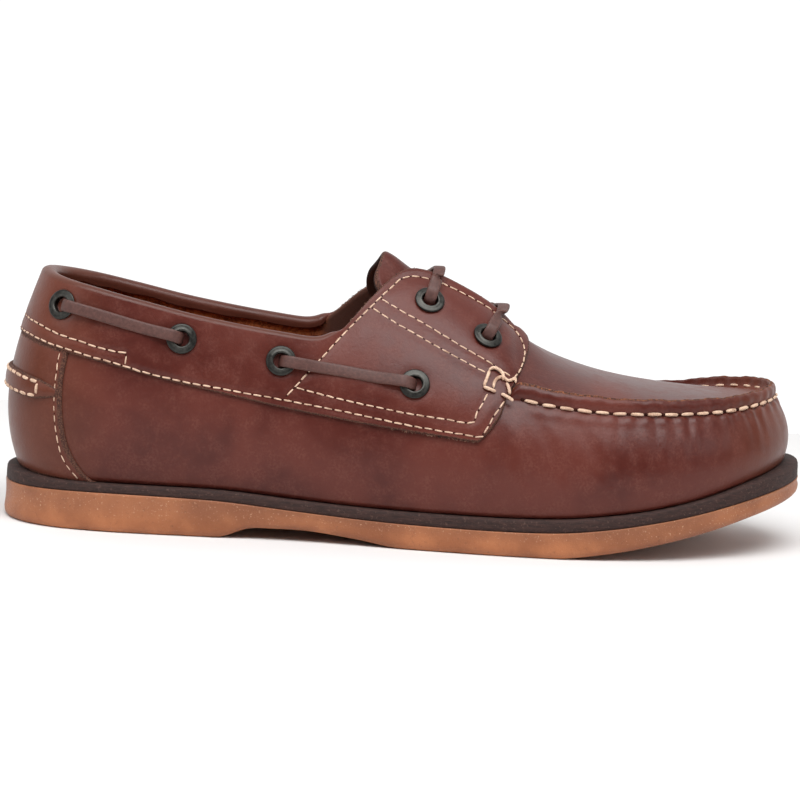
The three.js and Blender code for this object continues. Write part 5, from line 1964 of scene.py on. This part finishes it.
def gum_material(name):
    """Gum rubber: caramel, cloudy, with pale specks, and razor-cut waves under it, darkened with painted
    shade.
    """
    material, tree, shader, where = start_material(name)
    cloud = noise(tree, where, 45.0, 4.0, 0.55, 0.3)
    colour = blend_colour(tree, spread(tree, cloud, 0.35, 0.68), GUM_DEEP, GUM_PALE)
    speck = spread(tree, noise(tree, where, 1300.0, 2.0, 0.6), 0.60, 0.74)
    at = axes(tree, where)
    dusty = spread(tree, at["Z"], 0.003, 0.010)
    colour = blend_colour(tree, times(tree, dusty, 0.35), colour, (0.24, 0.094, 0.048, 1))
    speck = times(tree, speck, spread(tree, dusty, 0.0, 1.0, 0.12, 0.6))
    colour = blend_colour(tree, speck, colour, (0.62, 0.38, 0.24, 1))
    soil = spread(tree, noise(tree, where, 620.0, 4.0, 0.7), 0.57, 0.75)
    colour = blend_colour(tree, times(tree, soil, 0.4), colour, (0.10, 0.035, 0.018, 1))
    wave = maths(tree, "SINE", times(tree, at["Y"], 900.0))
    phase = plus(tree, times(tree, at["X"], 1250.0), times(tree, wave, 1.1))
    cuts_and_shade = spread(tree, maths(tree, "ABSOLUTE", maths(tree, "SINE", phase)), 0.0, 0.28, 1.0, 0.0)
    cuts_and_shade = times(tree, cuts_and_shade, attribute(tree, "under"))
    # Painted shade: the razor cuts are darkened, as shade falls in grooves.
    colour = blend_colour(tree, times(tree, cuts_and_shade, 0.8), colour, (0.06, 0.02, 0.01, 1))
    stipple = noise(tree, where, 1500.0, 3.0, 0.6)
    height = minus(tree, stipple, times(tree, cuts_and_shade, 4.0))
    rough = spread(tree, stipple, 0.3, 0.7, 0.42, 0.62)
    coat(tree, shader, colour, rough, (height, 0.4, 0.0003))
    return material


# %% [markdown]
# Holes and fibres
# Two finishes are small: the shade in a needle hole, and dry fibres at a cut edge.

# %% Holes and fibres
def painted_hole_shade(name):
    """The shade inside a needle hole: near black, warm, and without shine."""
    material, tree, shader, where = start_material(name)
    tone = spread(tree, noise(tree, where, 800.0), 0.3, 0.7)
    colour = blend_colour(tree, tone, (0.022, 0.006, 0.004, 1), (0.048, 0.013, 0.009, 1))
    coat(tree, shader, colour, 0.9, Specular_IOR_Level=0.1)
    return material


def fibre_material(name):
    """Loose flesh-side fibres: some dark with wax, some pale and dry."""
    material, tree, shader, where = start_material(name)
    tone = spread(tree, noise(tree, where, 500.0, 3.0, 0.7), 0.4, 0.62)
    coat(tree, shader, blend_colour(tree, tone, RAW_DARK, (0.30, 0.16, 0.11, 1)), 0.9)
    return material


# %% [markdown]
# Giving out the finishes
# Last, each piece gets the finish it was kept with.

# %% Finishes
FINISHES = {
    "fibre": fibre_material("loose_fibre"),
    "hole": painted_hole_shade("needle_hole_shade"),
    "leather": leather("waxed_leather", None, upper_extra),
    "counter": leather("counter_leather", "edge", cut_width=1.9),
    "band": leather("panel_leather", "edge", facing_extra, 0.3),
    "tongue": leather("tongue_leather", "edge", tongue_extra),
    "suede": suede("suede_lining"),
    "lace": lace_leather("thong_leather"),
    "thread": thread_material("cream_thread"),
    "metal": antique_metal("blackened_brass"),
    "midsole": midsole_material("dark_leatherboard"),
    "gum": gum_material("gum_rubber"),
}
for obj, finish in PIECES.values():
    obj.data.materials.append(FINISHES[finish])
print("finishes", len(FINISHES))

# %% [markdown]
# Studio
# The shoe stands on white paper. A wide soft box above and in front draws the broad sheen over the saddle
# and the vamp, the bright paper behind shows in the apron, and the dark room in front keeps the sides deep.

# %% Floor and room
FLOOR_HALF, FLOOR_BEHIND = 3.0, 0.28
PAPER = (0.80, 0.79, 0.785, 1)
ROOM_FRONT, ROOM_BACK, ROOM_SEEN = 0.08, 1.0, 1.08


def make_floor():
    """One large pale sheet of paper under the shoe, ending a little behind it."""
    half, behind = FLOOR_HALF, FLOOR_BEHIND
    mesh = bpy.data.meshes.new("floor")
    corners = [(-half, -half, 0), (half, -half, 0), (half, behind, 0), (-half, behind, 0)]
    mesh.from_pydata(corners, [], [(0, 1, 2, 3)])
    floor = bpy.data.objects.new("floor", mesh)
    bpy.context.scene.collection.objects.link(floor)
    material, tree, shader, _ = start_material("white_paper")
    coat(tree, shader, PAPER, 0.9, Specular_IOR_Level=0.1)
    mesh.materials.append(material)


def make_room():
    """Bright behind the shoe and dark in front of it; what the camera sees directly is plain white."""
    world = bpy.data.worlds.new("studio")
    world.use_nodes = True
    tree = world.node_tree
    way = axes(tree, add_node(tree, "ShaderNodeTexCoord").outputs["Generated"])
    glow = spread(tree, way["Y"], -0.25, 0.55, ROOM_FRONT, ROOM_BACK)
    seen = add_node(tree, "ShaderNodeLightPath").outputs["Is Camera Ray"]
    strength = add_node(tree, "ShaderNodeMix", {0: seen, 2: glow, 3: ROOM_SEEN}, data_type="FLOAT")
    connect(tree, tree.nodes["Background"], {"Color": (1, 1, 1, 1), "Strength": strength.outputs[0]})
    bpy.context.scene.world = world


make_floor()
make_room()
print("floor", 2 * FLOOR_HALF, "m wide, with", FLOOR_BEHIND, "m of it behind the shoe")

# %% [markdown]
# Lights
# Three soft boxes light the shoe: a large one above and in front, and two weak ones at its sides. They
# are placed by azimuth and elevation, in degrees, and by their distance in metres.

# %% Lights
def soft_box(name, azimuth, elevation, away, width, height, power):
    """A rectangular light at an azimuth and elevation round the shoe, facing it."""
    turn, rise = np.radians(azimuth), np.radians(elevation)
    way = np.array([np.sin(turn) * np.cos(rise), -np.cos(turn) * np.cos(rise), np.sin(rise)])
    data = bpy.data.lights.new(name, "AREA")
    data.shape, data.size, data.size_y, data.energy = "RECTANGLE", width, height, power
    light = bpy.data.objects.new(name, data)
    light.location = way * away + np.array([0, 0, 0.05])
    light.rotation_mode = "QUATERNION"
    light.rotation_quaternion = Vector(way).to_track_quat("Z", "Y")
    bpy.context.scene.collection.objects.link(light)


soft_box("overhead", 0, 61, 1.2, 1.3, 0.8, 19.5)
soft_box("heel_side", -62, 24, 1.3, 0.6, 0.6, 2.9)
soft_box("toe_side", 58, 26, 1.3, 0.6, 0.6, 2.0)
bpy.context.scene.view_settings.view_transform = "Standard"
print("lights", [light.name for light in bpy.data.lights])
